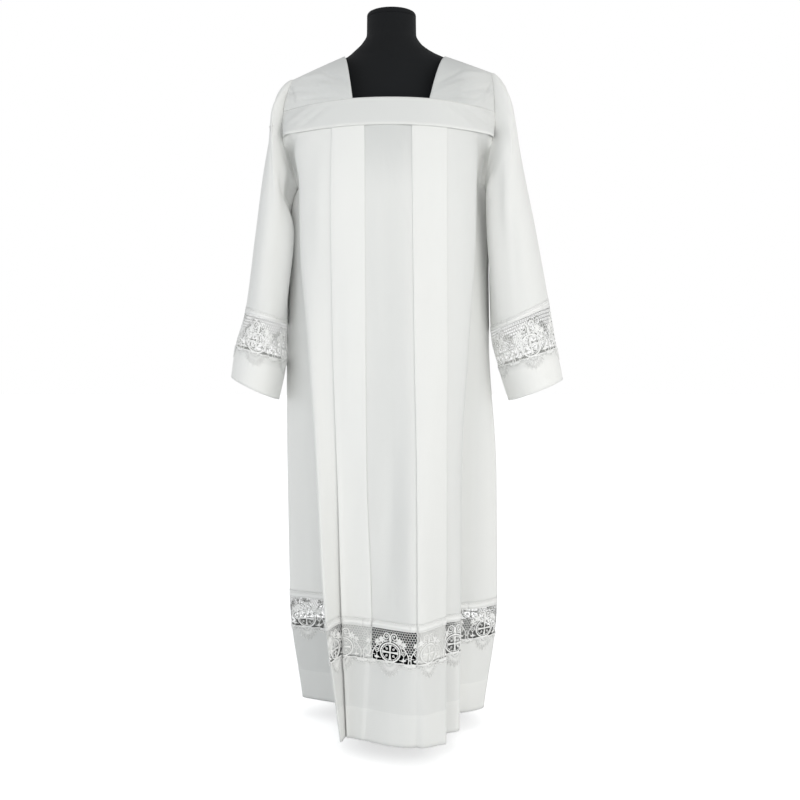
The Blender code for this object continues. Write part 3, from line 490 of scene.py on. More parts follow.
class Finish:
    """The nodes of one material, or of the room, and the one way of adding to them."""

    def __init__(self, owner):
        self.owner = owner
        owner.use_nodes = True
        self.tree = owner.node_tree
        self.tree.nodes.clear()

    def node(self, kind, settings=None, values=(), out=0):
        """Add a node: its settings first, then the values or links of its sockets."""
        made = self.tree.nodes.new(kind)
        for key, value in (settings or {}).items():
            setattr(made, key, value)
        pairs = values.items() if isinstance(values, dict) else enumerate(values)
        for key, value in pairs:
            if isinstance(value, Amount):
                self.tree.links.new(value.socket, made.inputs[key])
            else:
                made.inputs[key].default_value = value
        return Amount(self, made.outputs[out]) if len(made.outputs) else None

    def surface(self, values):
        """End a material in one principled surface."""
        shader = self.node("ShaderNodeBsdfPrincipled", None, values)
        self.node("ShaderNodeOutputMaterial", None, {"Surface": shader})
        return self.owner

    def mapped(self, scale, source="UV"):
        """The cloth's own coordinates in metres, or Object ones, scaled."""
        if source == "UV":
            place = self.node("ShaderNodeUVMap", {"uv_map": "cloth"})
        else:
            place = self.node("ShaderNodeTexCoord", None, (), "Object")
        return self.node("ShaderNodeMapping", None, {"Vector": place, "Scale": scale})

    def noise(self, scale, detail=2.0, roughness=0.5):
        """Noise along and across the cloth by two scales, or all through the object by one."""
        if isinstance(scale, tuple):
            place = self.mapped((*scale, 1.0))
        else:
            place = self.mapped((scale, scale, scale), "OBJECT")
        values = {"Vector": place, "Scale": 1.0, "Detail": detail, "Roughness": roughness}
        return self.node("ShaderNodeTexNoise", None, values)

    def between(self, factor, first, second):
        """A colour between two, by a factor."""
        colours = {0: factor, 6: (*first, 1.0), 7: (*second, 1.0)}
        return self.node("ShaderNodeMix", {"data_type": "RGBA"}, colours, 2)

    def bump(self, height, strength, distance):
        values = {"Height": height, "Strength": strength, "Distance": distance}
        return self.node("ShaderNodeBump", None, values)


def plain_weave(finish, light, shade, pitch, roughness, depth):
    """Matt plain weave: crossing threads, slubs and soft clouding, whiter or greyer by the painted
    light and shade given to each point, doubled cloth painted whiter.
    """
    place = finish.mapped((1 / pitch, 1 / pitch, 1.0))
    parts = finish.node("ShaderNodeSeparateXYZ", None, (place,))
    warp = parts * math.pi
    weft = parts.beside(1) * math.pi
    threads = warp.sine() * weft.sine() * 0.5 + 0.5
    slub_up = finish.noise((900.0, 14.0))
    slub_across = finish.noise((16.0, 1100.0))
    clouds = finish.noise((7.0, 4.0), 3.0, 0.6)
    streaks = (slub_up + slub_across) * 0.5
    painted_light = finish.node("ShaderNodeAttribute", {"attribute_name": "painted_light"}, (), "Fac")
    # random slubs and clouding, plus the painted light and shade of each point
    tone = (streaks + clouds - 1.0) * 0.09 + painted_light
    height = threads * 0.55 + streaks * 0.9
    return finish.surface({
        "Base Color": finish.between(tone, shade, light),
        "Roughness": streaks * 0.12 + roughness,
        "Specular IOR Level": 0.25,
        "Sheen Weight": 0.12,
        "Sheen Roughness": 0.55,
        "Normal": finish.bump(height, 0.55, depth),
    })


def twisted_thread(finish, colour, roughness):
    """Mercerised cotton thread: a fine twist with fuzz on it."""
    fuzz = finish.noise(1400.0)
    soft = finish.noise(40.0)
    darker = tuple(part * 0.93 for part in colour)
    return finish.surface({
        "Base Color": finish.between(fuzz * 0.5 + soft * 0.5, darker, colour),
        "Roughness": fuzz * 0.15 + roughness,
        "Specular IOR Level": 0.3,
        "Sheen Weight": 0.15,
        "Normal": finish.bump(fuzz, 0.5, 0.00012),
    })


def knit_jersey(finish, colour):
    """Black knitted jersey: fine upright ribs crossed by courses, with a dusty lift in places."""
    place = finish.mapped((1 / RIB_PITCH, 1 / COURSE_PITCH, 1.0))
    parts = finish.node("ShaderNodeSeparateXYZ", None, (place,))
    wales = (parts * math.pi).sine().size()
    courses = (parts.beside(1) * (2 * math.pi)).sine() * 0.5 + 0.5
    dust = finish.noise(9.0, 4.0, 0.6)
    lighter = tuple(part * 1.9 for part in colour)
    return finish.surface({
        "Base Color": finish.between(dust, colour, lighter),
        "Roughness": dust * 0.10 + 0.82,
        "Specular IOR Level": 0.25,
        "Sheen Weight": 0.03,
        "Sheen Roughness": 0.4,
        "Normal": finish.bump(wales * 0.7 + courses * 0.3, 0.5, 0.0003),
    })


def satin_lacquer(finish, colour):
    """Satin black lacquer with a faint orange peel and dulled patches."""
    peel = finish.noise(260.0)
    dulled = finish.noise(14.0, 4.0)
    lighter = tuple(part * 1.6 for part in colour)
    return finish.surface({
        "Base Color": finish.between(dulled, colour, lighter),
        "Roughness": dulled * 0.25 + 0.30,
        "Normal": finish.bump(peel, 0.2, 0.0002),
    })


def plain_floor(finish, colour):
    """Pale matt studio floor."""
    soft = finish.noise(1.5, 3.0)
    darker = tuple(part * 0.99 for part in colour)
    ray = finish.node("ShaderNodeLightPath")
    return finish.surface({
        "Base Color": finish.between(soft, darker, colour),
        "Roughness": 0.9,
        "Emission Color": finish.between(ray, (0.0, 0.0, 0.0), (1.0, 1.0, 1.0)),
        "Emission Strength": 0.55,
    })


def finish_of(name):
    """The finish with this name, made the first time it is asked for."""
    known = bpy.data.materials.get(name)
    if known:
        return known
    looks = bpy.context.scene.alb_looks
    cotton = (plain_weave, looks.cotton, looks.cotton_shade, looks.weave_pitch)
    make, *values = {
        "white_cotton": (*cotton, 0.80, 0.00030),
        "band_cotton": (*cotton, 0.78, 0.00034),
        "lace_thread": (twisted_thread, looks.lace, 0.75),
        "sewing_thread": (twisted_thread, looks.thread, 0.60),
        "black_jersey": (knit_jersey, looks.jersey),
        "black_lacquer": (satin_lacquer, looks.lacquer),
        "studio_floor": (plain_floor, looks.floor),
    }[name]
    return make(Finish(bpy.data.materials.new(name)), *values)


# ------------------------------------------------------------------ curves
def hermite(start, end, start_tangent, end_tangent, t):
    return (
        (2 * t**3 - 3 * t**2 + 1) * start
        + (t**3 - 2 * t**2 + t) * start_tangent
        + (3 * t**2 - 2 * t**3) * end
        + (t**3 - t**2) * end_tangent
    )


def at_height(levels, values, z):
    """The value at height z on a smooth curve through the levels that never overshoots them."""
    levels = np.array(levels[::-1], float)
    values = np.array(values[::-1], float)
    steps = np.diff(levels)
    slopes = np.diff(values) / steps
    tangents = np.concatenate([slopes[:1], np.zeros(len(slopes) - 1), slopes[-1:]])
    for i in range(1, len(slopes)):
        before, after = slopes[i - 1], slopes[i]
        if before * after > 0:
            tangents[i] = 2 * before * after / (before + after)
    i = int(np.clip(np.searchsorted(levels, z) - 1, 0, len(steps) - 1))
    t = (z - levels[i]) / steps[i]
    return hermite(values[i], values[i + 1], tangents[i] * steps[i], tangents[i + 1] * steps[i], t)


def stretch_point(before, start, end, after, share):
    """A point on the centripetal curve through four points, between the middle two."""
    points = (before, start, end, after)
    first, middle, last = (
        max(float(np.linalg.norm(b - a)) ** 0.5, 1e-5) for a, b in zip(points, points[1:])
    )
    leaving = middle * (
        (start - before) / first - (end - before) / (first + middle) + (end - start) / middle
    )
    arriving = middle * (
        (end - start) / middle - (after - start) / (middle + last) + (after - end) / last
    )
    return hermite(start, end, leaving, arriving, share)


def soft_step(low, high, values):
    share = np.clip((np.asarray(values, float) - low) / (high - low), 0, 1)
    return share * share * (3 - 2 * share)


def crease_height(across, down, creases):
    """How far the cloth stands out at each place, from a table of soft creases."""
    height = np.zeros(np.broadcast(across, down).shape)
    for start, top, end, low, width, rise in creases:
        along = np.clip((down - top) / (low - top), 0, 1)
        off = (across - (start + (end - start) * along)) / width
        ends = np.sin(np.pi * np.clip(along, 0, 1)) ** 0.7
        height += rise * np.exp(-(off**2)) * ends
    return height


# ------------------------------------------------------------------ cloth as a grid of points
class Cloth:
    """A sheet of cloth: rows of points run across it, and columns run down it."""

    def __init__(self, points, outward, closed=False):
        self.points = np.array(points, float)
        self.outward = outward
        self.closed = closed
        self.painted_light = np.full(self.points.shape[:2], 0.78)

    def normals(self):
        """The direction out of the robe at each point."""
        across = np.gradient(self.points, axis=1)
        if self.closed:
            across = np.roll(self.points, -1, axis=1) - np.roll(self.points, 1, axis=1)
        down = np.gradient(self.points, axis=0)
        normal = np.cross(across, down) * self.outward
        return normal / np.maximum(np.linalg.norm(normal, axis=2, keepdims=True), 1e-12)

    def push(self, height):
        """Move the cloth out along its own normals."""
        self.points = self.points + self.normals() * np.asarray(height)[..., None]
        return self

    def thicken(self, row, white):
        """Let the cloth stand proud where it is turned double, from a row down, and paint it whiter
        there.
        """
        doubled = np.zeros(self.points.shape[:2])
        doubled[row:] = DOUBLED
        self.push(doubled)
        self.painted_light[row:] = white

    def lengths_across(self):
        steps = np.linalg.norm(np.diff(self.points, axis=1), axis=2)
        return np.concatenate([np.zeros((len(steps), 1)), np.cumsum(steps, axis=1)], axis=1)

    def lengths_down(self):
        steps = np.linalg.norm(np.diff(self.points, axis=0), axis=2)
        return np.concatenate([np.zeros((1, steps.shape[1])), np.cumsum(steps, axis=0)], axis=0)

    def closing(self):
        """Length of the last step round each row of a tube, from its last point to its first."""
        return np.linalg.norm(self.points[:, 0] - self.points[:, -1], axis=1) * self.closed

    def size(self):
        """Greatest width and length of the flat cut, and its area."""
        width = float((self.lengths_across()[:, -1] + self.closing()).max())
        length = float(self.lengths_down()[-1].max())
        points = self.points
        if self.closed:
            points = np.concatenate([points, points[:, :1]], axis=1)
        first, second = points[1:, 1:] - points[:-1, :-1], points[1:, :-1] - points[:-1, 1:]
        area = float(np.linalg.norm(np.cross(first, second), axis=2).sum() / 2)
        return width, length, area

    def place(self, row, column, lift):
        """The points at rows and columns, which may be fractions, lifted off the cloth."""
        normals = self.normals()
        rows, columns = self.points.shape[:2]
        row, column = np.broadcast_arrays(np.asarray(row, float), np.asarray(column, float))
        row = np.clip(row, 0, rows - 1 - 1e-9)
        column = column % columns if self.closed else np.clip(column, 0, columns - 1 - 1e-9)
        r, c = row.astype(int), column.astype(int)
        u, v = (row - r)[..., None], (column - c)[..., None]
        d = (c + 1) % columns

        def mix(grid):
            upper = grid[r, c] * (1 - v) + grid[r, d] * v
            lower = grid[r + 1, c] * (1 - v) + grid[r + 1, d] * v
            return upper * (1 - u) + lower * u

        normal = mix(normals)
        normal = normal / np.maximum(np.linalg.norm(normal, axis=-1, keepdims=True), 1e-12)
        return mix(self.points) + normal * np.asarray(lift)[..., None]


def new_piece(name, mesh, finish):
    """A finished piece of the object, riding on the one body."""
    piece = bpy.data.objects.new(name, mesh)
    bpy.context.scene.collection.objects.link(piece)
    mesh.materials.clear()
    mesh.materials.append(finish_of(finish))
    mesh.shade_smooth()
    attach(piece, "root")
    return piece


def cloth_piece(name, cloth, thickness, finish, node):
    """The cloth as a thin shell, with the weave's coordinates in metres on it."""
    rows, columns = cloth.points.shape[:2]
    across, down, closing = cloth.lengths_across(), cloth.lengths_down(), cloth.closing()
    loop_columns = columns if cloth.closed else columns - 1
    mesh = bpy.data.meshes.new(name)
    faces = []
    places = []
    for r in range(rows - 1):
        for c in range(loop_columns):
            d = (c + 1) % columns
            corners = [(r, c), (r, d), (r + 1, d), (r + 1, c)]
            ends = [c, c + 1, c + 1, c]
            if cloth.outward < 0:
                corners.reverse()
                ends.reverse()
            faces.append([i * columns + j for i, j in corners])
            for (i, j), k in zip(corners, ends):
                u = across[i, -1] + closing[i] if k == columns else across[i, j]
                places.append((u - across[i, -1] / 2, -down[i, j]))
    mesh.from_pydata(cloth.points.reshape(-1, 3).tolist(), [], faces)
    layer = mesh.uv_layers.new(name="cloth")
    layer.data.foreach_set("uv", np.array(places, np.float32).ravel())
    painted_light = mesh.attributes.new("painted_light", "FLOAT", "POINT")
    painted_light.data.foreach_set("value", cloth.painted_light.astype(np.float32).ravel())
    piece = new_piece(name, mesh, finish)
    shell = piece.modifiers.new("thickness", "SOLIDIFY")
    shell.thickness = thickness
    shell.offset = 0.0
    shell.use_even_offset = True
    shell.use_quality_normals = True
    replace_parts(piece, node)
    width, length, area = cloth.size()
    flat = (round(width, 3), round(length, 3))
    shaped = area if area < OBLONG * flat[0] * flat[1] else None
    return piece


# ------------------------------------------------------------------ armholes, sleeves and sections
def ring_point(ring, angle):
    """A point of a sleeve ring: angle 0 at its outer point, a quarter turn at its front."""
    outer_x, outer_z, inner_x, inner_z, depth, swell, middle_y = ring
    side = math.copysign(1.0, outer_x)
    along = math.cos(angle)
    across = math.sin(angle)
    hollow = HOLLOW["left" if side < 0 else "right"]
    return np.array((
        (outer_x + inner_x) / 2 + along * (outer_x - inner_x) / 2
        + side * swell * across**2 * (1 + hollow * min(0.0, along)),
        middle_y - depth * across,
        (outer_z + inner_z) / 2 + along * (outer_z - inner_z) / 2,
    ))


def body_outward(face):
    return -1.0 if face == "front" else 1.0


def armhole_angle(side, z):
    _, outer_z, _, inner_z, *_ = SLEEVE_RINGS[side][0]
    share = (z - (outer_z + inner_z) / 2) / ((outer_z - inner_z) / 2)
    return math.acos(max(-1.0, min(1.0, share)))


def armhole_point(side, face, z):
    sign = 1 if face == "front" else -1
    return ring_point(SLEEVE_RINGS[side][0], sign * armhole_angle(side, z))


def face_of(face):
    """Fold lines, their heights, pleat lifts, rows, band and creases of one face."""
    if face == "front":
        return FRONT_FOLDS, FRONT_LEVELS, FRONT_LIFTS, FRONT_ROWS, FRONT_BAND, FRONT_CREASES
    return BACK_FOLDS, BACK_LEVELS, BACK_LIFTS, BACK_ROWS, BACK_BAND, BACK_CREASES


def fold_places(face, z, side_z):
    """Plan place of each fold at height z, with the outer two on the armholes or side seams."""
    folds, levels = face_of(face)[:2]
    places = [
        np.array([at_height(levels, values, z) for values in folds[name]]) for name in FOLD_ORDER
    ]
    if side_z > UNDERARM_Z:
        places[0] = armhole_point("left", face, side_z)[:2]
        places[-1] = armhole_point("right", face, side_z)[:2]
    for end in (0, -1):
        places[end] = places[end] + (0, body_outward(face) * SEAM)
    return places


def past_seam(face, z, side_z):
    """The points that steer a section's two ends: the other face's flanks, or straight on."""
    places = fold_places(face, z, side_z)
    if side_z > UNDERARM_Z:
        return 2 * places[0] - places[1], 2 * places[-1] - places[-2]
    other = fold_places("back" if face == "front" else "front", z, side_z)
    return other[1], other[-2]


def pleat_steps(turn):
    """Share across the strip and layer (0 behind, 1 in front) of each point over half a pleat."""
    steps = [(share, 0.0) for share in np.linspace(0.0, TUCK - turn, TUCK_POINTS)]
    rounds = [math.pi * k / TURN_PARTS for k in range(1, TURN_PARTS)]
    steps += [(TUCK - turn + turn * math.sin(a), 0.25 - 0.25 * math.cos(a)) for a in rounds]
    steps += [(share, 0.5) for share in np.linspace(TUCK - turn, turn, TUCK_POINTS)]
    steps += [(turn - turn * math.sin(a), 0.75 - 0.25 * math.cos(a)) for a in rounds]
    return steps + [(share, 1.0) for share in (turn, *STRIP_SHARES)]


def strip_shown():
    """Whether each point over half a pleat lies on its strip, where it is seen."""
    return [layer > 0.8 for _, layer in pleat_steps(TURN_MOST / 2)]


def pleat_path(face, name, z, base_point, released=False):
    """Points across one box pleat: in under the strip, out, over the strip, and the same back.

    Where the pleat is released, its edge nearer the middle lies open instead of folded under.
    """
    lifts = face_of(face)[2]
    inner_lift, outer_lift = (at_height(LIFT_LEVELS, lift, z) for lift in lifts[name])
    if name == "pleat_left":
        lift_start, lift_end = outer_lift, inner_lift
    else:
        lift_start, lift_end = inner_lift, outer_lift
    outward = np.array((0.0, body_outward(face)))
    width = float(np.linalg.norm(base_point(1.0) - base_point(0.0)))
    start, end = (
        pleat_steps(min(TURN_MOST, lift * TURN_OF_LIFT / width)) for lift in (lift_start, lift_end)
    )
    if released:
        eased = [
            (k / OPEN_PARTS, math.sin(math.pi / 2 * min(1.0, 4 * k / OPEN_PARTS)) ** 2)
            for k in range(OPEN_PARTS // 2)
        ]
        start, end = (start, eased) if name == "pleat_left" else (eased, end)
    steps = [(share, layer, layer) for share, layer in start] + [(0.5, 1.0, 1.0)]
    steps += [(1 - share, layer, layer) for share, layer in reversed(end)]
    if released and name == "pleat_right":
        steps = [(share, near, 1.0 if share < 0.5 else far) for share, near, far in steps]
    elif released:
        steps = [(share, 1.0 if share > 0.5 else near, far) for share, near, far in steps]
    return [
        base_point(share) + outward * (near * lift_start * (1 - share) + far * lift_end * share)
        for share, near, far in steps
    ]


def panel_painted_tone(face):
    """How white each column of a face is painted: most on a pleat's strip, which its folds back,
    greyer on single cloth and lighter on the shaded side folds.
    """
    marks = []
    tones = PAINTED_TONES[face]
    for i, count in enumerate(STRETCH_POINTS):
        if count:
            first = 1 if FOLD_ORDER[i].startswith("pleat") else 0
            marks += [tones[i] + (tones[i + 1] - tones[i]) * k / count for k in range(first, count)]
        else:
            white = STRIP_PAINTED_TONE["right" if "right" in FOLD_ORDER[i] else "left"]
            shown = strip_shown()
            marks += [white if on else tones[i] for on in shown + [True]]
            marks += [white if on else tones[i + 1] for on in shown[::-1]]
    return np.array(marks + [tones[-1]])


def strip_columns(name):
    """The columns of a section that lie on one pleat's strip."""
    before = 0
    shown = strip_shown()
    for i, count in enumerate(STRETCH_POINTS):
        if not count and FOLD_ORDER[i].startswith(name):
            return before + np.flatnonzero(shown + [True] + shown[::-1])
        before += count - FOLD_ORDER[i].startswith("pleat") if count else 2 * len(shown) + 1
    raise ValueError(name)


def section(face, z, side_z, released=False):
    """The plan path of a panel at height z, from its left edge to its right."""
    places = fold_places(face, z, side_z)
    before, after = past_seam(face, z, side_z)
    knots = [before, *places, after]
    path = []
    for i, count in enumerate(STRETCH_POINTS):
        def base_point(share, i=i):
            return stretch_point(knots[i], knots[i + 1], knots[i + 2], knots[i + 3], share)

        if count:
            first = 1 if FOLD_ORDER[i].startswith("pleat") else 0
            path += [base_point(k / count) for k in range(first, count)]
        else:
            path += pleat_path(face, FOLD_ORDER[i].rsplit("_", 1)[0], z, base_point, released)
    path.append(places[-1])
    return np.array(path)


def section_row(face, middle_z, side_z, released=False):
    """A section as points in space: its ends hang lower where the band above droops."""
    plan = section(face, middle_z, side_z, released)
    reach = np.where(plan[:, 0] < 0, plan[0, 0], plan[-1, 0])
    share = np.clip(plan[:, 0] / reach, 0, 1) ** 2
    return np.column_stack([plan, middle_z - (middle_z - side_z) * share])


def wander(across, down):
    """A slow unevenness that all hung cloth has, in metres."""
    return (
        0.0007 * np.sin(across * 41.0 + down * 6.3 + 0.7)
        + 0.0005 * np.sin(across * 67.0 - down * 9.1 + 2.1)
        + 0.0004 * np.sin(across * 23.0 + down * 17.0 + 4.0)
    )


def settle(rows, face):
    """Give the body's cloth its soft creases, all the layers of a place moving together."""
    creases = face_of(face)[5]
    points = np.array(rows)
    x, y, z = points[..., 0], points[..., 1], points[..., 2]
    height = crease_height(x, z, creases) + wander(x, z) * soft_step(*WANDER_FADE, z)
    near_edge = np.minimum(np.abs(x - x[:, :1]), np.abs(x - x[:, -1:]))
    height *= soft_step(0.0, CALM_EDGE, near_edge)
    height *= soft_step(*CREASE_FADE[face], z)
    toward = body_outward(face)
    out = np.stack([x * 1.2, np.abs(y) * toward + toward * 0.05, np.zeros_like(x)], axis=-1)
    out /= np.linalg.norm(out, axis=-1, keepdims=True)
    points = points + out * height[..., None]
    columns = np.arange(x.shape[1])
    for side, sign, from_edge in (("left", -1.0, columns), ("right", 1.0, columns[::-1])):
        levels, fullness = zip(*UNDER_ARM[side][::-1])
        share = soft_step(*UNDER_ARM_COLUMNS, from_edge)
        points[..., 0] += sign * np.interp(z, levels, fullness) * share
    return points


# ------------------------------------------------------------------ pieces of the robe's body
def panel_rows(face):
    """Height in the middle and at the side of each row of points of a panel."""
    rows = face_of(face)[3]
    heights = []
    for start, end in zip(rows, rows[1:]):
        parts = ROWS_BELOW if start[0] <= UNDERARM_Z else ROWS_ABOVE
        heights += [(start[0] + (end[0] - start[0]) * k / parts,
                     start[1] + (end[1] - start[1]) * k / parts) for k in range(parts)]
    return heights + [rows[-1]]


def make_panel(face):
    """One face of the robe's body, from under its band down to the lace."""
    rows = [section_row(face, middle, side) for middle, side in panel_rows(face)]
    cloth = Cloth(settle(rows, face), body_outward(face))
    white = panel_painted_tone(face)
    recess = (white < RECESS_WHITE) & (np.abs(cloth.points[..., 0]) < RECESS_REACH)
    band_shade = np.where(recess, UNDER_BAND_PAINTED_SHADE["recess"], UNDER_BAND_PAINTED_SHADE["rest"])
    cloth.painted_light[:] = white
    # painted shade under the band
    cloth.painted_light -= band_shade * soft_step(*UNDER_BAND, cloth.points[..., 2])
    cloth_piece(f"{face}_body_cloth", cloth, THICKNESS["body"], "white_cotton", f"{face}_panel")
    return cloth


def band_edge(face, share_up, xs):
    """A band's lower (0) or upper (1) edge at these places across."""
    folds, _, _, rows, band, _ = face_of(face)
    low = rows[0]
    middle_z = low[0] + share_up * (band["top_middle_z"] - low[0])
    end_z = low[1] + share_up * (band["top_end_z"] - low[1])
    middle_y = folds["centre"][1][0] * (1 - share_up) + band["top_middle_y"] * share_up
    ends = {side: armhole_point(side, face, end_z) for side in ("left", "right")}
    points = []
    for x in xs:
        end = ends["left" if x < 0 else "right"]
        share = min(1.0, abs(x / end[0]))
        y = middle_y + (end[1] - middle_y) * share**BAND_FULLNESS
        points.append((x, y, middle_z + (end_z - middle_z) * share**2))
    return np.array(points)


def band_xs(face, share_up, count):
    rows, band = face_of(face)[3:5]
    end_z = rows[0][1] + share_up * (band["top_end_z"] - rows[0][1])
    turns = np.linspace(-math.pi / 2, math.pi / 2, count)
    reach = {side: abs(armhole_point(side, face, end_z)[0]) for side in ("left", "right")}
    return [math.sin(turn) * reach["left" if turn < 0 else "right"] for turn in turns]


def make_band(face):
    """The straight doubled band over the heads of the pleats."""
    toward = body_outward(face)
    heads = CLOTHS[f"{face}_panel"].points[0]
    rows = []
    for share in np.linspace(1.0, 0.0, BAND_ROWS):
        row = band_edge(face, share, band_xs(face, share, BAND_COLUMNS))
        inside = soft_step(1.0, 0.96, np.abs(row[:, 0]) / np.abs(row[:, 0]).max())
        near = [heads[np.abs(heads[:, 0] - x) < HEADS_NEAR][:, 1] * toward for x in row[:, 0]]
        over = [max(found, default=0.0) for found in near]
        over = np.convolve(np.pad(over, 2, "edge"), np.ones(5) / 5, "valid")
        proud = np.maximum(over + BAND_PROUD - row[:, 1] * toward, 0.0)
        row[:, 1] += toward * (SEAM + inside * proud * (1 - share) ** 1.2)
        rows.append(row)
    low = rows[-1].copy()
    low[:, 2] -= BAND_LIP
    rows.append(low)
    cloth = Cloth(np.array(rows), toward)
    across, down = cloth.points[..., 0], cloth.points[..., 2]
    up = down - down.min(axis=0)
    under_top = up.max(axis=0) - up
    # Painted shade over the band, lighter towards the ends, and painted highlights along its doubled
    # lower and upper edges.
    cloth.painted_light[:] = 0.34 + 0.10 * soft_step(0.03, 0.16, np.abs(across))
    cloth.painted_light += 0.28 * soft_step(0.007, 0.003, up)
    cloth.painted_light += 0.30 * soft_step(0.006, 0.001, under_top)
    puckers = PUCKER * np.sin(across * 190.0 + 8.0 * np.sin(down * 90.0))
    puckers *= soft_step(0.10, 0.19, np.abs(across))
    puckers += crease_height(across, up, BAND_CREASES)
    cloth.push(puckers * soft_step(0.0, 0.012, up) * soft_step(0.0, 0.006, under_top))
    cloth_piece(f"{face}_band_cloth", cloth, THICKNESS["band"], "band_cotton", f"{face}_band")
    return cloth


def neck_edge(side, face, share):
    """The neckline from a band's corner (0) up to the shoulder (1), round like the chest."""
    corner_x = (NECK_CORNER_X if face == "front" else BACK_CORNER_X)[side]
    corner = band_edge(face, 1.0, [corner_x])[0]
    top = np.array(SHOULDER_NECK[side])
    up = math.sin(share * math.pi / 2)
    in_from_front = math.cos(share * math.pi / 2)
    return np.array((
        corner[0] + (top[0] - corner[0]) * share,
        top[1] + (corner[1] - top[1]) * in_from_front,
        corner[2] + (top[2] - corner[2]) * up,
    ))


def make_shoulder(side):
    """The yoke piece over one shoulder, from the front band to the back band."""
    columns = np.linspace(0, 1, SHOULDER_COLUMNS)
    halves = {}
    for face in ("front", "back"):
        band = face_of(face)[4]
        corner_x = (NECK_CORNER_X if face == "front" else BACK_CORNER_X)[side]
        tip_angle = armhole_angle(side, band["top_end_z"])
        sign = 1 if face == "front" else -1
        end_x = armhole_point(side, face, band["top_end_z"])[0]
        foot = band_edge(face, 1.0, [corner_x + (end_x - corner_x) * u for u in columns])
        along_band = np.array([foot[0] + (foot[-1] - foot[0]) * u for u in columns])
        rows = []
        for step in range(SHOULDER_STEPS + 1):
            share = step / SHOULDER_STEPS
            neck = neck_edge(side, face, share)
            arm = ring_point(SLEEVE_RINGS[side][0], sign * tip_angle * (1 - share))
            straight = np.array([neck + (arm - neck) * u for u in columns])
            rows.append(straight + (foot - along_band) * (1 - share))
        tucked = rows[0] - (0, 0, SHOULDER_TUCK)
        halves[face] = [tucked] + rows
    grid = np.array(halves["front"] + halves["back"][-2::-1])
    outward = 1.0 if side == "left" else -1.0
    cloth = Cloth(grid[:, ::-1] if side == "left" else grid, outward)
    count = len(grid)
    across = columns[::-1] if side == "left" else columns
    u, v = np.meshgrid(across, np.arange(count) / (count - 1))
    height = crease_height(v, u, [(b, a, d, c, w, h) for a, b, c, d, w, h in SHOULDER_CREASES])
    height *= soft_step(0.0, 0.06, u) * soft_step(1.0, 0.95, u)
    height *= soft_step(0.0, 0.06, v) * soft_step(1.0, 0.94, v)
    outside = cloth.normals()
    if outside[count // 2, SHOULDER_COLUMNS // 2, 2] < 0:
        cloth.outward = -cloth.outward
    cloth.push(height)
    # painted shade, darkest at the neck and growing lighter towards the armhole
    dim, bright = SHOULDER_PAINTED_SHADE[side]
    cloth.painted_light[:] = dim + (bright - dim) * soft_step(0.0, 0.9, u)
    cloth_piece(f"shoulder_{side}_cloth", cloth, THICKNESS["shoulder"], "band_cotton",
                f"shoulder_{side}")
    return cloth


def hem_rows(face, heights, released=False):
    return settle([section_row(face, z, z, released) for z in heights], face)


def make_hem(face):
    """The plain cloth below the lace, turned up double at its edge."""
    turn_top = HEM_Z + HEM_TURN
    single = np.linspace(LACE_FOOT_Z, turn_top + 0.0012, HEM_TURN_ROW)
    cloth = Cloth(
        hem_rows(face, [*single, *np.linspace(turn_top, HEM_Z, 9)], True), body_outward(face)
    )
    cloth.thicken(HEM_TURN_ROW, HEM_PAINTED_TONE["doubled"])
    cloth.painted_light[:HEM_TURN_ROW] = HEM_PAINTED_TONE["single"]
    # painted light towards the right side and painted shade towards the left
    cloth.painted_light += 0.22 * soft_step(0.11, 0.14, cloth.points[..., 0])
    cloth.painted_light -= soft_step(-0.10, -0.14, cloth.points[..., 0]) * 0.14
    cloth_piece(f"{face}_hem_cloth", cloth, THICKNESS["hem"], "white_cotton", f"hem_{face}")
    return cloth


# ------------------------------------------------------------------ sleeves
def sleeve_cloth(side, ring_places):
    """The sleeve between two of its rings, as a closed tube of cloth."""
    rings = SLEEVE_RINGS[side]
    levels = [-k for k in range(len(rings))]
    angles = [2 * math.pi * c / SLEEVE_COLUMNS for c in range(SLEEVE_COLUMNS)]
    rows = []
    for place in ring_places:
        ring = tuple(float(at_height(levels, values, -place)) for values in zip(*rings))
        rows.append([ring_point(ring, angle) for angle in angles])
    cloth = Cloth(np.array(rows), 1.0 if side == "right" else -1.0, closed=True)
    turns, down = np.meshgrid(np.arange(SLEEVE_COLUMNS) / SLEEVE_COLUMNS, np.array(ring_places))
    height = crease_height(turns, down, SLEEVE_CREASES[side])
    height += crease_height(turns - 1, down, SLEEVE_CREASES[side])
    height += wander(np.sin(turns * 2 * math.pi) * 0.08, down * 0.12) * soft_step(0.2, 1.5, down)
    height *= soft_step(0.05, 0.7, down) * soft_step(6.4, 5.6, down)
    over_cap = soft_step(0.30, 0.0, np.minimum(turns, 1 - turns))
    puff = CAP_PUFF * over_cap * soft_step(0.0, 0.25, down) * soft_step(1.3, 0.3, down)
    cloth.push(height + puff)
    return cloth


def make_sleeve(side):
    """One sleeve, from its felled seam at the armhole down to its lace."""
    places = [*np.linspace(0.0, 1.0, 9)[:-1], *np.linspace(1.0, LACE_TOP_RING, 51)]
    cloth = sleeve_cloth(side, places)
    felled = np.zeros(cloth.points.shape[:2])
    felled[:3] = [[DOUBLED], [0.0003], [0.0001]]
    cloth.push(felled)
    cloth.points[0, :, 0] -= (-1.0 if side == "left" else 1.0) * FELL_INWARD
    cloth_piece(f"sleeve_{side}_cloth", cloth, THICKNESS["sleeve"], "white_cotton",
                f"sleeve_{side}")
    return cloth


def make_cuff(side):
    """The plain end of a sleeve, turned up double."""
    cloth = sleeve_cloth(side, np.linspace(LACE_LOW_RING, CUFF_RING, 13))
    cloth.thicken(CUFF_TURN_ROW, CUFF_PAINTED_TONE)
    cloth_piece(f"cuff_{side}_cloth", cloth, THICKNESS["cuff"], "white_cotton", f"cuff_{side}")
    return cloth


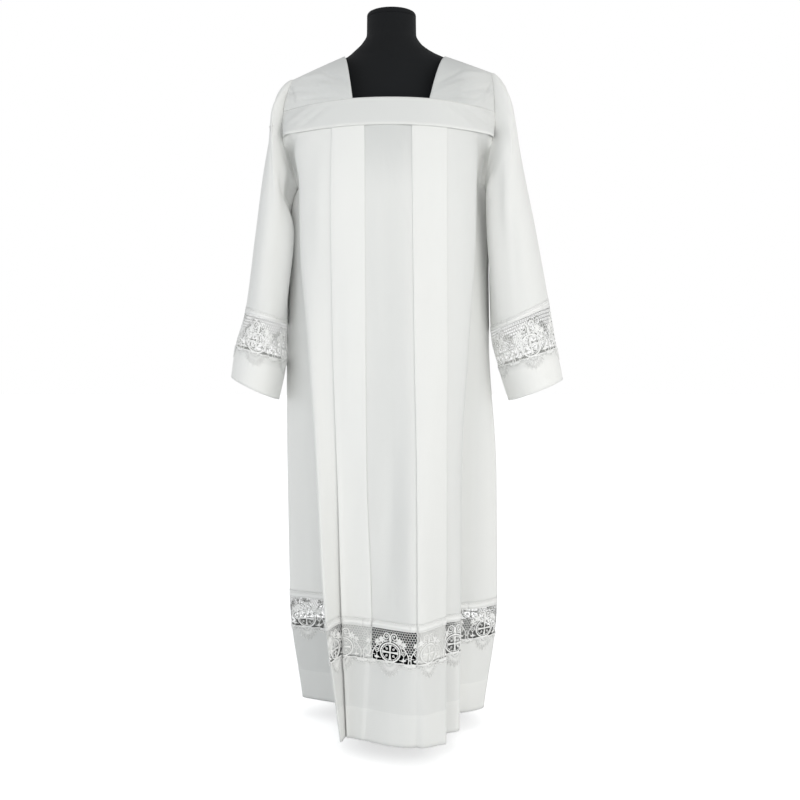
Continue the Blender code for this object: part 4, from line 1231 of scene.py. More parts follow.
# ------------------------------------------------------------------ lace
class Threads:
    """Threads and petals of lace laid out flat: x along the strip, y up it, z towards the eye."""

    def __init__(self):
        self.points = []
        self.faces = []

    def cord(self, path, width, height, closed=False, sides=6, lift=0.0):
        """A thread along a path, as wide at each point as it is told."""
        path = np.asarray(path, float)
        count = len(path)
        width = np.broadcast_to(np.asarray(width, float), (count,))
        height = np.broadcast_to(np.asarray(height, float), (count,))
        if closed:
            tangent = np.roll(path, -1, axis=0) - np.roll(path, 1, axis=0)
        else:
            tangent = np.gradient(path, axis=0)
        tangent /= np.maximum(np.linalg.norm(tangent, axis=1, keepdims=True), 1e-12)
        side = np.column_stack([-tangent[:, 1], tangent[:, 0]]) / math.cos(math.pi / sides)
        start = len(self.points)
        for i in range(count):
            for k in range(sides):
                around = 2 * math.pi * (k + 0.5) / sides
                x, y = path[i] + side[i] * math.cos(around) * width[i] / 2
                self.points.append((x, y, lift + math.sin(around) * height[i] / 2))
        for i in range(count if closed else count - 1):
            j = (i + 1) % count
            for k in range(sides):
                m = (k + 1) % sides
                self.faces.append((
                    start + i * sides + k, start + i * sides + m,
                    start + j * sides + m, start + j * sides + k,
                ))
        if not closed:
            self.faces.append(tuple(start + k for k in reversed(range(sides))))
            self.faces.append(tuple(start + (count - 1) * sides + k for k in range(sides)))

    def leaf(self, foot, tip, width, height, bend=0.0, parts=5):
        """A padded leaf or petal from its foot to its tip."""
        foot, tip = np.array(foot, float), np.array(tip, float)
        along = np.linspace(0, 1, parts + 1)
        way = tip - foot
        aside = np.array((-way[1], way[0])) * bend
        path = foot + along[:, None] * way + np.sin(np.pi * along)[:, None] * aside
        full = np.sin(np.pi * np.clip(along, 0.06, 0.96) ** 0.8)
        self.cord(path, width * np.maximum(full, 0.12), height * np.maximum(full, 0.35))

    def ring(self, centre, radius_x, radius_y, width, height, parts=24, sides=6, lift=0.0):
        turns = np.linspace(0, 2 * math.pi, parts, endpoint=False)
        path = np.column_stack([
            centre[0] + radius_x * np.cos(turns), centre[1] + radius_y * np.sin(turns),
        ])
        self.cord(path, width, height, closed=True, sides=sides, lift=lift)

    def mesh(self, name):
        made = bpy.data.meshes.new(name)
        made.from_pydata(self.points, [], self.faces)
        return made


def net_low(x):
    """How far down the net reaches at this distance from a medallion's middle."""
    reach, height = NET_LOW["over"]
    return height if x < reach else float(np.interp(x, *NET_LOW["beside"]))


def lace_net(threads, pitch, width, height):
    """Six-sided net over the upper part of one repeat, left out under the solid motifs."""
    columns = round(REPEAT / pitch)
    pitch = REPEAT / columns
    drop = pitch * 0.866
    radius = pitch / math.sqrt(3)
    turns = [math.pi * k / 3 for k in range(6)]
    seen = set()
    for row in range(int(NET_HEIGHT / drop)):
        for column in range(columns):
            x = -REPEAT / 2 + (column + 0.5 * (row % 2)) * pitch
            y = NET_FIRST_ROW - row * drop
            corners = [(x + radius * math.sin(turn), y + radius * math.cos(turn)) for turn in turns]
            for a, b in zip(corners, corners[1:] + corners[:1]):
                middle = ((a[0] + b[0]) / 2, (a[1] + b[1]) / 2)
                wrapped = (middle[0] + REPEAT / 2) % REPEAT
                key = (round(wrapped * 2e4), round(middle[1] * 2e4))
                beside = (wrapped - REPEAT / 2 + REPEAT) % REPEAT
                beside = min(beside, REPEAT - beside)
                if key in seen or middle[1] < net_low(beside) or middle[1] > NET_LIMIT:
                    continue
                seen.add(key)
                eyes = [(side * VOLUTE[0], VOLUTE[1]) for side in (-1, 1)]
                if any(math.dist(middle, eye) < VOLUTE_CLEAR for eye in eyes):
                    continue
                # three sides spread a thread half as wide again
                threads.cord([a, b], width / 1.5, height, sides=3)


def lace_medallion(threads, fine, bold, thick):
    """Two rings and a plain cross with a bead in each corner, under two volutes."""
    centre = np.array(MEDALLION)
    threads.ring(centre, 0.0216, 0.0181, bold * 1.1, thick, 44)
    threads.ring(centre, 0.0178, 0.0145, bold * 0.40, thick * 0.7, 40, 4)
    for way_x, way_y, reach in CROSS:
        path = [centre + (way_x * reach * s, way_y * reach * s) for s in (0.0, 0.35, 0.7, 1.0)]
        threads.cord(path, CROSS_WIDTHS, thick * 1.1)
    for x in (-1, 1):
        for y in (-1, 1):
            threads.ring(centre + (x * 0.0076, y * 0.0066), 0.0016, 0.0016, 0.0013, thick * 0.9, 10)
            tie = [centre + (x * 0.0088, y * 0.0076), centre + (x * 0.0124, y * 0.0102)]
            threads.cord(tie, fine, thick * 0.5, sides=4)
    for turn in np.linspace(0, 2 * math.pi, SPOKES, endpoint=False):
        way = np.array((math.cos(turn), math.sin(turn)))
        spoke = [centre + way * (0.0182, 0.0149), centre + way * (0.0210, 0.0175)]
        threads.cord(spoke, fine * 0.8, thick * 0.5, sides=4)
    threads.leaf((0, 0.0378), (0, 0.0475), 0.0046, thick)
    for side in (-1, 1):
        turns = np.radians(np.linspace(78, -4, 14))
        arch = centre + np.column_stack([side * 0.0262 * np.cos(turns), 0.0222 * np.sin(turns)])
        threads.cord(arch, bold * 0.65, thick * 0.9)
        turns = np.radians(np.linspace(205, -330, 30))
        radius = np.linspace(0.0081, 0.0022, 30)
        volute = np.column_stack([
            side * (VOLUTE[0] + radius * np.cos(turns)), VOLUTE[1] + radius * np.sin(turns),
        ])
        stem = [(side * 0.0003, 0.0400), (side * 0.0008, 0.0430)]
        threads.cord(np.vstack([stem, volute]), np.linspace(bold, bold * 0.62, 32), thick)
        threads.ring((side * VOLUTE[0], VOLUTE[1]), 0.0007, 0.0007, 0.0014, thick, 8)


def lace_leaves(threads, bold, thick):
    """Pointed leaves, arcs, berries and ties on both sides of the medallion."""
    for side in (-1, 1):
        for (x, y), reach, width, turns in LEAVES:
            for turn in turns:
                angle = math.radians(turn + SPRAY_TURN)
                tip = (side * (x + reach * math.cos(angle)), y + reach * math.sin(angle))
                threads.leaf((side * x, y), tip, width, thick, 0.06)
        threads.cord([(side * x, y) for x, y in ARC], bold * 0.72, thick)
        berry = (side * BERRY[0], BERRY[1])
        threads.ring(berry, 0.0038, 0.0038, bold * 0.55, thick * 0.9, 16)
        threads.ring(berry, 0.0007, 0.0007, 0.0016, thick, 8)
        for tie in TIES:
            threads.cord([(side * x, y) for x, y in tie], bold * 0.45, thick * 0.7, sides=4)


def lace_fans(threads, bold, thick):
    """The large fan under the medallion and the sprigs between two of them."""
    for turn in np.linspace(-FAN_SPREAD, FAN_SPREAD, FAN_LOOPS):
        angle = math.radians(turn)
        reach = FAN_REACH - 0.0062 * abs(turn) / FAN_SPREAD
        way = np.array((math.sin(angle), -math.cos(angle)))
        across = np.array((way[1], -way[0]))
        foot = np.array((0.0, 0.0020)) + way * 0.005
        loop = []
        for a in np.linspace(0, 2 * math.pi, 16, endpoint=False):
            along = (1 - math.cos(a)) / 2
            loop.append(foot + way * (reach - 0.005) * along
                        + across * math.sin(a) * (0.0011 + 0.0023 * along))
        threads.cord(loop, bold * 0.46, thick * 0.9, closed=True, sides=4)
        threads.leaf(foot + way * 0.005, foot + way * (reach * 0.62), 0.0026, thick, 0.0, 4)
        for back, width in ((0.0092, 0.0009), (0.0036, 0.0008)):
            threads.ring(foot + way * (reach - back), 0.0009, 0.0009, width, thick * 0.6, 6, 4)
    for middle, reach in SPRIGS:
        for turn in (-42, 0, 42):
            angle = math.radians(turn)
            way = np.array((math.sin(angle), -math.cos(angle)))
            foot = np.array((middle, 0.0010))
            threads.leaf(foot, foot + way * reach, 0.0030, thick * 0.9)
        edge = [(middle + reach * 1.05 * math.sin(a), 0.0012 - reach * 1.1 * math.cos(a))
                for a in np.linspace(-1.35, 1.35, 11)]
        threads.cord(edge, bold * 0.42, thick * 0.7, sides=4)


def lace_heading(threads, fine, bold, thick):
    """The cord along the lace's foot, and the heading with its zigzag and picots."""
    xs = np.linspace(-REPEAT / 2, REPEAT / 2, 25)
    foot = np.column_stack([xs, 0.0006 + 0.0005 * np.sin(xs * 8 * math.pi / REPEAT)])
    threads.cord(foot, bold * 0.8, thick)
    low, high = ((y, bold * width, height) for y, width, height in HEADING)
    for y, width, height in (low, BRAID, high):
        threads.cord(np.column_stack([xs, np.full(25, y)]), width, thick * height, sides=4)
    zigzag = [(-REPEAT / 2 + REPEAT * k / TEETH, ZIGZAG[k % 2]) for k in range(TEETH + 1)]
    threads.cord(zigzag, bold * 0.4, thick * 0.8, sides=4)
    for k in range(PICOTS):
        x = -REPEAT / 2 + REPEAT * (k + 0.5) / PICOTS
        loop = [(x + 0.0018 * math.cos(a), 0.0764 + 0.0024 * math.sin(a))
                for a in np.linspace(-0.3, math.pi + 0.3, 7)]
        threads.cord(loop, fine * 1.1, thick * 0.6, sides=3)


def lace_repeat():
    """One repeat of the lace, its medallion in the middle and its foot at y 0."""
    threads = Threads()
    looks = bpy.context.scene.alb_looks
    fine, bold, thick = looks.net_thread, looks.lace_cord, looks.lace_relief
    lace_net(threads, looks.net_pitch, fine, thick * 0.5)
    lace_medallion(threads, fine, bold, thick)
    lace_leaves(threads, bold, thick)
    lace_fans(threads, bold, thick)
    lace_heading(threads, fine, bold, thick)
    return threads


# ------------------------------------------------------------------ what repeats
def laying_tree(name, inputs, nodes, links):
    """Geometry Nodes that lay a shape on points, make the copies real and give them a finish.

    Each node has a name, its type, its settings and its values; each link has a node and its
    output, then a node and its input.
    """
    known = bpy.data.node_groups.get(name)
    if known:
        return known
    tree = bpy.data.node_groups.new(name, "GeometryNodeTree")
    inputs = (("Geometry", "Geometry", None), *inputs, ("Finish", "Material", None))
    for label, kind, default in inputs:
        socket = tree.interface.new_socket(
            name=label, in_out="INPUT", socket_type=f"NodeSocket{kind}")
        if default is not None:
            socket.default_value = default
        if kind == "Float":
            socket.subtype = "DISTANCE"
    tree.interface.new_socket(name="Geometry", in_out="OUTPUT", socket_type="NodeSocketGeometry")
    nodes = (
        ("given", "NodeGroupInput", {}, {}),
        *nodes,
        ("lay", "GeometryNodeInstanceOnPoints", {}, {}),
        ("real", "GeometryNodeRealizeInstances", {}, {}),
        ("coat", "GeometryNodeSetMaterial", {}, {}),
        ("done", "NodeGroupOutput", {}, {}),
    )
    made = {}
    for label, kind, settings, values in nodes:
        made[label] = tree.nodes.new(kind)
        for key, value in settings.items():
            setattr(made[label], key, value)
        for key, value in values.items():
            made[label].inputs[key].default_value = value
    links = (
        *links, ("lay", 0, "real", 0), ("real", 0, "coat", "Geometry"),
        ("given", "Finish", "coat", "Material"), ("coat", 0, "done", 0),
    )
    for start, out, end, into in links:
        tree.links.new(made[start].outputs[out], made[end].inputs[into])
    return tree


def repeat_tree():
    """Geometry Nodes that lay a shape side by side along a strip."""
    return laying_tree(
        "lay_side_by_side",
        (("Repeats", "Int", 5), ("Repeat length", "Float", REPEAT)),
        (
            ("step", "ShaderNodeCombineXYZ", {}, {}),
            ("half", "ShaderNodeMath", {"operation": "MULTIPLY"}, {1: 0.5}),
            ("start", "ShaderNodeCombineXYZ", {}, {}),
            ("line", "GeometryNodeMeshLine", {}, {}),
        ),
        (
            ("given", "Repeat length", "step", "X"), ("given", "Repeat length", "half", 0),
            ("half", 0, "start", "X"), ("given", "Repeats", "line", "Count"),
            ("start", 0, "line", "Start Location"), ("step", 0, "line", "Offset"),
            ("line", 0, "lay", "Points"), ("given", "Geometry", "lay", "Instance"),
        ),
    )


def stitch_tree():
    """Geometry Nodes that set small stitches along lines."""
    return laying_tree(
        "set_stitches",
        (
            ("Spacing", "Float", 0.0030), ("Stitch length", "Float", 0.0022),
            ("Thread width", "Float", 0.0005),
        ),
        (
            ("lines", "GeometryNodeMeshToCurve", {}, {}),
            ("spaced", "GeometryNodeResampleCurve", {"mode": "LENGTH"}, {}),
            ("tangent", "GeometryNodeInputTangent", {}, {}),
            ("turn", "FunctionNodeAlignRotationToVector", {"axis": "Z"}, {}),
            ("ball", "GeometryNodeMeshIcoSphere", {}, {"Radius": 0.5, "Subdivisions": 1}),
            ("size", "ShaderNodeCombineXYZ", {}, {}),
        ),
        (
            ("given", "Geometry", "lines", "Mesh"), ("lines", 0, "spaced", "Curve"),
            ("given", "Spacing", "spaced", "Length"), ("tangent", 0, "turn", "Vector"),
            ("given", "Thread width", "size", "X"), ("given", "Thread width", "size", "Y"),
            ("given", "Stitch length", "size", "Z"), ("spaced", 0, "lay", "Points"),
            ("ball", "Mesh", "lay", "Instance"), ("turn", 0, "lay", "Rotation"),
            ("size", 0, "lay", "Scale"),
        ),
    )


def run_tree(name, mesh, tree, values):
    """The mesh that a tree of Geometry Nodes makes from a mesh and its named inputs."""
    guide = bpy.data.objects.new(f"{name}_guide", mesh)
    bpy.context.scene.collection.objects.link(guide)
    nodes = guide.modifiers.new("nodes", "NODES")
    nodes.node_group = tree
    for item in tree.interface.items_tree:
        if item.in_out == "INPUT" and item.name in values:
            nodes[item.identifier] = values[item.name]
    bpy.context.view_layer.update()
    seen = guide.evaluated_get(bpy.context.evaluated_depsgraph_get())
    made = bpy.data.meshes.new_from_object(seen)
    made.name = name
    guide.modifiers.remove(nodes)
    bpy.data.objects.remove(guide)
    return made


def lay_lace(name, repeats, total, locate, ground, nodes):
    """Repeat the lace along its strip, then lay it on the folds of the robe."""
    flat = run_tree(name, lace_repeat().mesh(f"{name}_repeat"), repeat_tree(), {
        "Repeats": repeats, "Repeat length": REPEAT, "Finish": finish_of("lace_thread"),
    })
    places = np.zeros(len(flat.vertices) * 3)
    flat.vertices.foreach_get("co", places)
    places = places.reshape(-1, 3)
    along = places[:, 0] * (total / repeats) / REPEAT
    up = places[:, 1]
    proud = FANS_PROUD * soft_step(0.003, -0.001, up)
    proud += HEADING_PROUD * soft_step(0.0625, 0.0650, up)
    row, column = locate(along, up)
    laid = ground.place(row, column, places[:, 2] + proud)
    flat.vertices.foreach_set("co", laid.astype(np.float32).ravel())
    flat.update()
    piece = new_piece(name, flat, "lace_thread")
    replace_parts(piece, *nodes)


def hem_lace_ground(face):
    """The cloth's form behind the hem lace, from under its fans to over its heading."""
    heights = np.linspace(LACE_TOP_Z + OVER_HEADING, LACE_FOOT_Z - UNDER_FANS, 25)
    ground = Cloth(hem_rows(face, heights), body_outward(face))
    top = section_row(face, LACE_TOP_Z, LACE_TOP_Z)
    low = section_row(face, LACE_LOW_Z, LACE_LOW_Z)
    middle = (top + low) / 2
    lengths = np.concatenate([[0.0], np.cumsum(np.linalg.norm(np.diff(middle, axis=0), axis=1))])

    def locate(along, up):
        row = (heights[0] - (LACE_FOOT_Z + up)) / (heights[0] - heights[-1]) * (len(heights) - 1)
        return row, np.interp(along, lengths, np.arange(len(lengths)))

    return ground, lengths[-1], locate


def make_hem_lace(face):
    """The lace let in above the hem of one face."""
    ground, total, locate = hem_lace_ground(face)
    repeats = round(total / REPEAT)
    lay_lace(f"{face}_hem_lace", repeats, total, locate, ground, [f"hem_lace_{face}"])


def make_lining(side):
    """A sheet of white cotton close behind the lace on one front pleat, which stands in for the light
    on the lace's folded layers there, with a painted tone.
    """
    heights = np.linspace(LACE_TOP_Z - 0.001, LACE_FOOT_Z + 0.001, 13)
    columns = strip_columns(f"pleat_{side}")
    cloth = Cloth(hem_rows("front", heights)[:, columns[1:-1]], body_outward("front"))
    cloth.push(np.full(cloth.points.shape[:2], -LIGHT_SHEET_DEPTH))
    cloth.painted_light[:] = LIGHT_SHEET_TONE[side]
    cloth_piece(f"lining_{side}_cloth", cloth, THICKNESS["lining"], "white_cotton",
                "hem_lace_front")


def make_cuff_lace(side):
    """The lace round one sleeve, above its cuff."""
    places = np.linspace(LACE_TOP_RING - 0.14, LACE_LOW_RING + 0.40, 33)
    ground = sleeve_cloth(side, places)
    middle_row = int(np.argmin(np.abs(places - (LACE_TOP_RING + 0.5))))
    ring = ground.points[middle_row]
    steps = np.linalg.norm(np.roll(ring, -1, axis=0) - ring, axis=1)
    lengths = np.concatenate([[0.0], np.cumsum(steps)])

    def locate(along, up):
        along = (along + CUFF_LACE_TURN * lengths[-1]) % lengths[-1]
        ring_place = LACE_LOW_RING - up / np.where(up < 0, CUFF_FANS_RISE, NET_TOP)
        over = LACE_TOP_RING - (up - NET_TOP) / CUFF_HEADING_RISE
        ring_place = np.where(up > NET_TOP, over, ring_place)
        row = (ring_place - places[0]) / (places[-1] - places[0]) * (len(places) - 1)
        return row, np.interp(along, lengths, np.arange(len(lengths)))

    lay_lace(f"cuff_{side}_lace", CUFF_REPEATS, lengths[-1], locate, ground,
             [f"cuff_lace_{side}_front", f"cuff_lace_{side}_back"])


# ------------------------------------------------------------------ sewing
def make_stitches(name, lines):
    """One piece that holds the stitches along several lines of points."""
    looks = bpy.context.scene.alb_looks
    points = []
    edges = []
    for line in lines:
        start = len(points)
        points += line.tolist()
        edges += [(start + k, start + k + 1) for k in range(len(line) - 1)]
    guide = bpy.data.meshes.new(f"{name}_lines")
    guide.from_pydata(points, edges, [])
    made = run_tree(name, guide, stitch_tree(), {
        "Spacing": looks.stitch_spacing,
        "Stitch length": looks.stitch_spacing * STITCH_SHARE,
        "Thread width": looks.stitch_width,
        "Finish": finish_of("sewing_thread"),
    })
    new_piece(name, made, "sewing_thread")


def stitch_band(face):
    """Stitches along both edges of a band."""
    band = CLOTHS[f"{face}_band"]
    columns = np.arange(0.6, BAND_COLUMNS - 1.4, 0.5)
    rows = (STITCH_IN, BAND_ROWS - 1.0)
    lines = [band.place(row, columns, BAND_STITCH_LIFT) for row in rows]
    make_stitches(f"{face}_band_stitches", lines)


def stitch_turn(name, cloth, row, columns):
    """Stitches along the upper edge of a turned-up hem or cuff."""
    make_stitches(f"{name}_stitches", [cloth.place(row + STITCH_UNDER, columns, STITCH_LIFT)])


def stitch_shoulder(side):
    """Stitches along a shoulder's neckline and its armhole."""
    shoulder = CLOTHS[f"shoulder_{side}"]
    rows = np.arange(1.5, shoulder.points.shape[0] - 2.0, 1.0)
    near_neck, near_arm = SHOULDER_COLUMNS - 2.2, 1.2
    columns = (near_neck, near_arm) if side == "left" else (near_arm, near_neck)
    lines = [shoulder.place(rows, column, STITCH_LIFT) for column in columns]
    make_stitches(f"shoulder_{side}_stitches", lines)


# ------------------------------------------------------------------ dress form
def form_grid(sides, rows):
    """Points round the form at each height, its lines smoothed below the neck."""
    heights, *sizes = zip(*FORM_RINGS)
    fine = np.linspace(heights[0], heights[-1], FORM_LEVELS)
    first, length = SMOOTH_BELOW
    share = np.clip((first - fine) / length, 0, 1)
    lines = []
    for values in sizes:
        line = np.array([float(at_height(heights, values, z)) for z in fine])
        soft = line
        for _ in range(3):
            soft = np.pad(soft, SMOOTHING // 2, mode="edge")
            soft = np.convolve(soft, np.ones(SMOOTHING) / SMOOTHING, "valid")
        lines.append(line + (soft - line) * share * share * (3 - 2 * share))
    narrower, middle_z, span = NECK_CLEARANCE
    lines[0] = lines[0] - narrower * np.exp(-(((fine - middle_z) / span) ** 2))
    grid = []
    for z in heights[0] + (heights[-1] - heights[0]) * np.linspace(0, 1, rows) ** 1.6:
        left, right, depth, middle, fullness = (float(np.interp(-z, -fine, line)) for line in lines)
        row = []
        for i in range(sides):
            turn = 2 * math.pi * i / sides
            across = math.copysign(abs(math.cos(turn)) ** (2 / fullness), math.cos(turn))
            deep = math.copysign(abs(math.sin(turn)) ** (2 / fullness), math.sin(turn))
            row.append(((left if across < 0 else right) * across, middle + depth * deep, z))
        grid.append(row)
    return np.array(grid)


def turned_grid(profile, half_width, half_depth, middle_y, base_z, sides):
    """Points of a round or oval solid, from shares of its half sizes and heights."""
    turns = np.linspace(0, 2 * math.pi, sides, endpoint=False)
    return np.array([
        [(half_width * share * math.cos(a), middle_y + half_depth * share * math.sin(a), base_z + z)
         for a in turns]
        for share, z in profile
    ])


def closed_grid(name, grid, girth):
    """A closed tube of points with its two ends filled, its coordinates in metres."""
    rows, columns = grid.shape[:2]
    bm = bmesh.new()
    layer = bm.loops.layers.uv.new("cloth")
    verts = [[bm.verts.new(point) for point in row] for row in grid]
    for r in range(rows - 1):
        for c in range(columns):
            d = (c + 1) % columns
            made = bm.faces.new((verts[r][c], verts[r + 1][c], verts[r + 1][d], verts[r][d]))
            for loop, (k, row) in zip(made.loops, ((c, r), (c, r + 1), (c + 1, r + 1), (c + 1, r))):
                loop[layer].uv = (k / columns * girth, grid[row][0][2])
    for row, order in ((verts[0], 1), (verts[-1], -1)):
        made = bm.faces.new(row[::order])
        for loop in made.loops:
            loop[layer].uv = (loop.vert.co.x, loop.vert.co.y)
    bmesh.ops.recalc_face_normals(bm, faces=bm.faces)
    mesh = bpy.data.meshes.new(name)
    bm.to_mesh(mesh)
    bm.free()
    return mesh


def make_form():
    """The padded body with its jersey, the cap in its neck and the flat foot."""
    top, radius, _, _, middle, _ = FORM_RINGS[0]
    cap = turned_grid(CAP_PROFILE[::-1], radius, radius, middle, top, 64)
    foot = turned_grid(FOOT_PROFILE, FOOT_HALF_WIDTH, FOOT_HALF_DEPTH, FOOT_MIDDLE_Y, 0.0, 96)
    parts = (
        ("form_skin", form_grid(112, 120), 0.9, "black_jersey", "jersey", "form_body"),
        ("form_cap", cap, 0.33, "black_jersey", "jersey", "neck_cap"),
        ("form_foot", foot, 0.8, "black_lacquer", "foot", "base"),
    )
    for name, grid, girth, finish, slot, node in parts:
        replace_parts(new_piece(name, closed_grid(name, grid, girth), finish), node)


# ------------------------------------------------------------------ stage
def make_floor():
    """A plain white floor."""
    mesh = bpy.data.meshes.new("studio_floor")
    mesh.from_pydata([(x, y, 0.0) for x, y in FLOOR_CORNERS], [], [(0, 1, 2, 3)])
    floor = bpy.data.objects.new("studio_floor", mesh)
    bpy.context.scene.collection.objects.link(floor)
    mesh.materials.append(finish_of("studio_floor"))


def make_room(strength):
    """Plain white surroundings whose light comes half as strong from above as from the sides."""
    world = bpy.data.worlds.new("soft_room")
    room = Finish(world)
    way = room.node("ShaderNodeTexCoord", None, (), "Generated")
    height = room.node("ShaderNodeSeparateXYZ", None, (way,), "Z")
    dimmed = room.node("ShaderNodeMapRange", None, {
        "Value": height, "From Min": 0.0, "From Max": 0.8,
        "To Min": strength, "To Max": strength * 0.5,
    })
    values = {"Color": ROOM_COLOUR, "Strength": dimmed}
    light = room.node("ShaderNodeBackground", None, values)
    sweep = room.node("ShaderNodeBackground", None, {"Color": (1.0, 1.0, 1.0, 1.0)})
    ray = room.node("ShaderNodeLightPath")
    seen = room.node("ShaderNodeMixShader", None, (ray, light, sweep))
    room.node("ShaderNodeOutputWorld", None, {"Surface": seen})
    bpy.context.scene.world = world


def make_lamps(powers):
    """Soft square lamps, each turned to its target."""
    for (name, place, target, size, colour), power in zip(LAMPS, powers):
        light = bpy.data.lights.new(name, "AREA")
        light.size = size
        light.energy = power
        light.color = colour
        lamp = bpy.data.objects.new(name, light)
        lamp.location = place
        lamp.rotation_euler = (Vector(target) - Vector(place)).to_track_quat("-Z", "Y").to_euler()
        bpy.context.scene.collection.objects.link(lamp)


def make_camera(tilt):
    """The camera, its shift set so that the upright edges stay nearly upright."""
    camera = bpy.data.cameras.new("camera")
    camera.sensor_width = SENSOR_WIDTH
    camera.lens = LENS
    camera.shift_x = PIXELS_ASIDE / PIXELS
    camera.shift_y = -(PIXELS_DOWN / PIXELS - LENS / SENSOR_WIDTH * math.tan(tilt))
    camera.clip_end = 100.0
    eye = bpy.data.objects.new("camera", camera)
    eye.location = EYE
    eye.rotation_euler = (math.pi / 2 - tilt, 0.0, 0.0)
    bpy.context.scene.collection.objects.link(eye)
    bpy.context.scene.camera = eye


def make_stage():
    """The floor, its surroundings, the lamps and the camera."""
    looks = bpy.context.scene.alb_looks
    make_floor()
    make_room(looks.room_light)
    make_lamps((looks.key_light, looks.fill_light))
    make_camera(math.radians(looks.camera_tilt))
    bpy.context.scene.view_settings.view_transform = "Standard"


# ------------------------------------------------------------------ the add-on
def colour_property(name, description):
    return bpy.props.FloatVectorProperty(
        name=name, description=description, subtype="COLOR", size=3, min=0.0, max=1.0,
        default=COLOURS[name.lower().replace(" ", "_")],
    )


def length_property(name, description, default):
    return bpy.props.FloatProperty(
        name=name, description=description, default=default, min=0.0, precision=5,
        subtype="DISTANCE", unit="LENGTH",
    )


def light_property(name, description, default, unit="NONE"):
    return bpy.props.FloatProperty(
        name=name, description=description, default=default, min=0.0, unit=unit,
    )


class AlbLooks(bpy.types.PropertyGroup):
    """Sizes and colours of the robe's finishes, and the strength of the light."""

    cotton: colour_property("Cotton", "Colour of the robe's cloth")
    # the dark end of the cloth's colour: its darker slubs and clouding, and also the painted shade
    # and painted grey of single cloth
    cotton_shade: colour_property("Cotton shade", "Colour of the cloth's darker threads")
    lace: colour_property("Lace", "Colour of the lace")
    thread: colour_property("Thread", "Colour of the sewing thread")
    jersey: colour_property("Jersey", "Colour of the dress form")
    lacquer: colour_property("Lacquer", "Colour of the form's foot")
    floor: colour_property("Floor", "Colour of the studio floor")
    weave_pitch: length_property("Weave pitch", "From one thread of the cloth to the next", 0.00055)
    net_pitch: length_property("Net pitch", "From one hole of the net to the next", 0.0054)
    net_thread: length_property("Net thread", "Width of the net's threads", 0.0010)
    lace_cord: length_property("Lace cord", "Width of the lace's outlines", 0.0026)
    lace_relief: length_property("Lace relief", "Thickness of the lace's outlines", 0.0012)
    stitch_spacing: length_property("Stitch spacing", "From one stitch to the next", 0.0030)
    stitch_width: length_property("Stitch width", "Thickness of the sewing thread", 0.00035)
    camera_tilt: bpy.props.FloatProperty(
        name="Camera tilt", description="How far the camera looks down, in degrees", default=0.8)
    room_light: light_property("Room light", "Strength of the light from all round", 1.04)
    key_light: light_property("Key light", "Power of the light from the right", 31.0, "POWER")
    fill_light: light_property("Fill light", "Power of the light from the left", 11.0, "POWER")


CLOTHS = {}


class ALB_OT_stage(bpy.types.Operator):
    """Set up the floor, the lights and the camera"""

    bl_idname = "alb.stage"
    bl_label = "Stage"

    def execute(self, context):
        make_stage()
        return {"FINISHED"}


class ALB_OT_form(bpy.types.Operator):
    """Make the dress form"""

    bl_idname = "alb.form"
    bl_label = "Dress form"

    def execute(self, context):
        make_form()
        return {"FINISHED"}


class ALB_OT_body(bpy.types.Operator):
    """Hang the pleated front and back, and their hems"""

    bl_idname = "alb.body"
    bl_label = "Pleated body"

    def execute(self, context):
        for face in ("front", "back"):
            CLOTHS[f"{face}_panel"] = make_panel(face)
            CLOTHS[f"{face}_hem"] = make_hem(face)
        return {"FINISHED"}


class ALB_OT_yoke(bpy.types.Operator):
    """Make the bands and the shoulder pieces"""

    bl_idname = "alb.yoke"
    bl_label = "Bands and shoulders"

    def execute(self, context):
        for face in ("front", "back"):
            CLOTHS[f"{face}_band"] = make_band(face)
        for side in ("left", "right"):
            CLOTHS[f"shoulder_{side}"] = make_shoulder(side)
        return {"FINISHED"}


class ALB_OT_sleeves(bpy.types.Operator):
    """Set in the sleeves and their cuffs"""

    bl_idname = "alb.sleeves"
    bl_label = "Sleeves"

    def execute(self, context):
        for side in ("left", "right"):
            CLOTHS[f"sleeve_{side}"] = make_sleeve(side)
            CLOTHS[f"cuff_{side}"] = make_cuff(side)
        return {"FINISHED"}


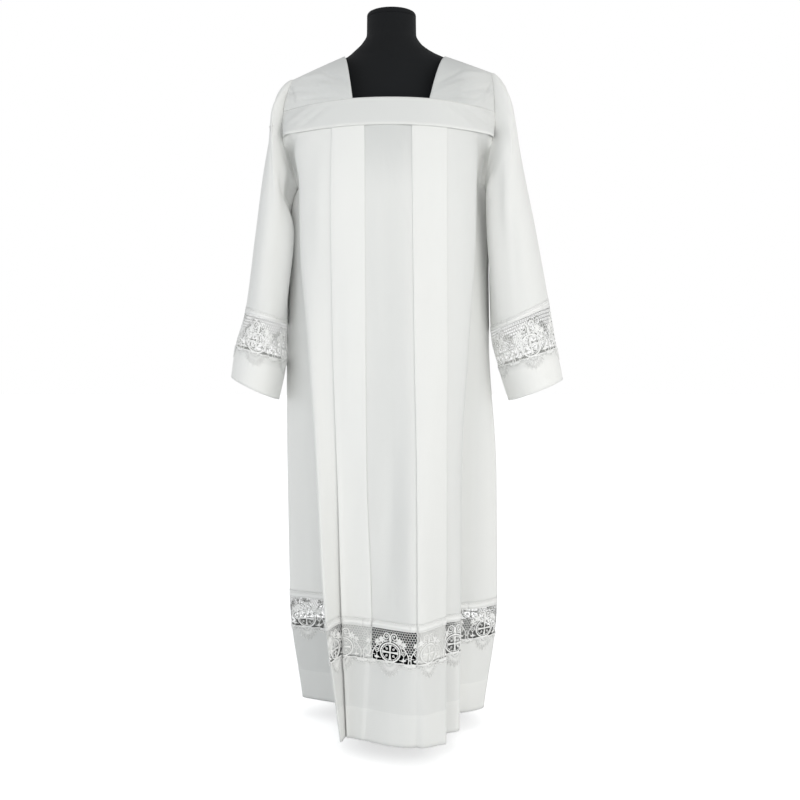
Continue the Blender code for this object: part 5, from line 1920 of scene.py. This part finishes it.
class ALB_OT_lace(bpy.types.Operator):
    """Let in the lace above the hem and the cuffs"""

    bl_idname = "alb.lace"
    bl_label = "Lace"

    def execute(self, context):
        for face in ("front", "back"):
            make_hem_lace(face)
        for side in ("left", "right"):
            make_lining(side)
            make_cuff_lace(side)
        return {"FINISHED"}


class ALB_OT_sewing(bpy.types.Operator):
    """Sew the hems, the bands, the neck and the armholes"""

    bl_idname = "alb.sewing"
    bl_label = "Sewing"

    def execute(self, context):
        for face in ("front", "back"):
            stitch_band(face)
            hem = CLOTHS[f"{face}_hem"]
            columns = np.arange(0.5, hem.points.shape[1] - 1.5, 0.5)
            stitch_turn(f"{face}_hem", hem, HEM_TURN_ROW, columns)
        for side in ("left", "right"):
            stitch_shoulder(side)
            columns = np.arange(0, SLEEVE_COLUMNS + 0.5, 0.5)
            stitch_turn(f"cuff_{side}", CLOTHS[f"cuff_{side}"], CUFF_TURN_ROW, columns)
        return {"FINISHED"}


class ALB_PT_panel(bpy.types.Panel):
    """Buttons for the robe's pieces"""

    bl_label = "Alb Robe"
    bl_idname = "ALB_PT_panel"
    bl_space_type = "VIEW_3D"
    bl_region_type = "UI"
    bl_category = "Alb Robe"

    def draw(self, context):
        for operator in OPERATORS:
            self.layout.operator(operator.bl_idname)
        for key in AlbLooks.__annotations__:
            self.layout.prop(context.scene.alb_looks, key)


OPERATORS = (
    ALB_OT_stage, ALB_OT_form, ALB_OT_body, ALB_OT_yoke, ALB_OT_sleeves, ALB_OT_lace, ALB_OT_sewing,
)


def register():
    for kind in (AlbLooks, *OPERATORS, ALB_PT_panel):
        bpy.utils.register_class(kind)
    bpy.types.Scene.alb_looks = bpy.props.PointerProperty(type=AlbLooks)


def unregister():
    del bpy.types.Scene.alb_looks
    for kind in reversed((AlbLooks, *OPERATORS, ALB_PT_panel)):
        bpy.utils.unregister_class(kind)


def main():
    register()
    bpy.ops.alb.stage()
    bpy.ops.alb.form()
    bpy.ops.alb.body()
    bpy.ops.alb.yoke()
    bpy.ops.alb.sleeves()
    bpy.ops.alb.lace()
    bpy.ops.alb.sewing()


if __name__ == "__main__":
    main()
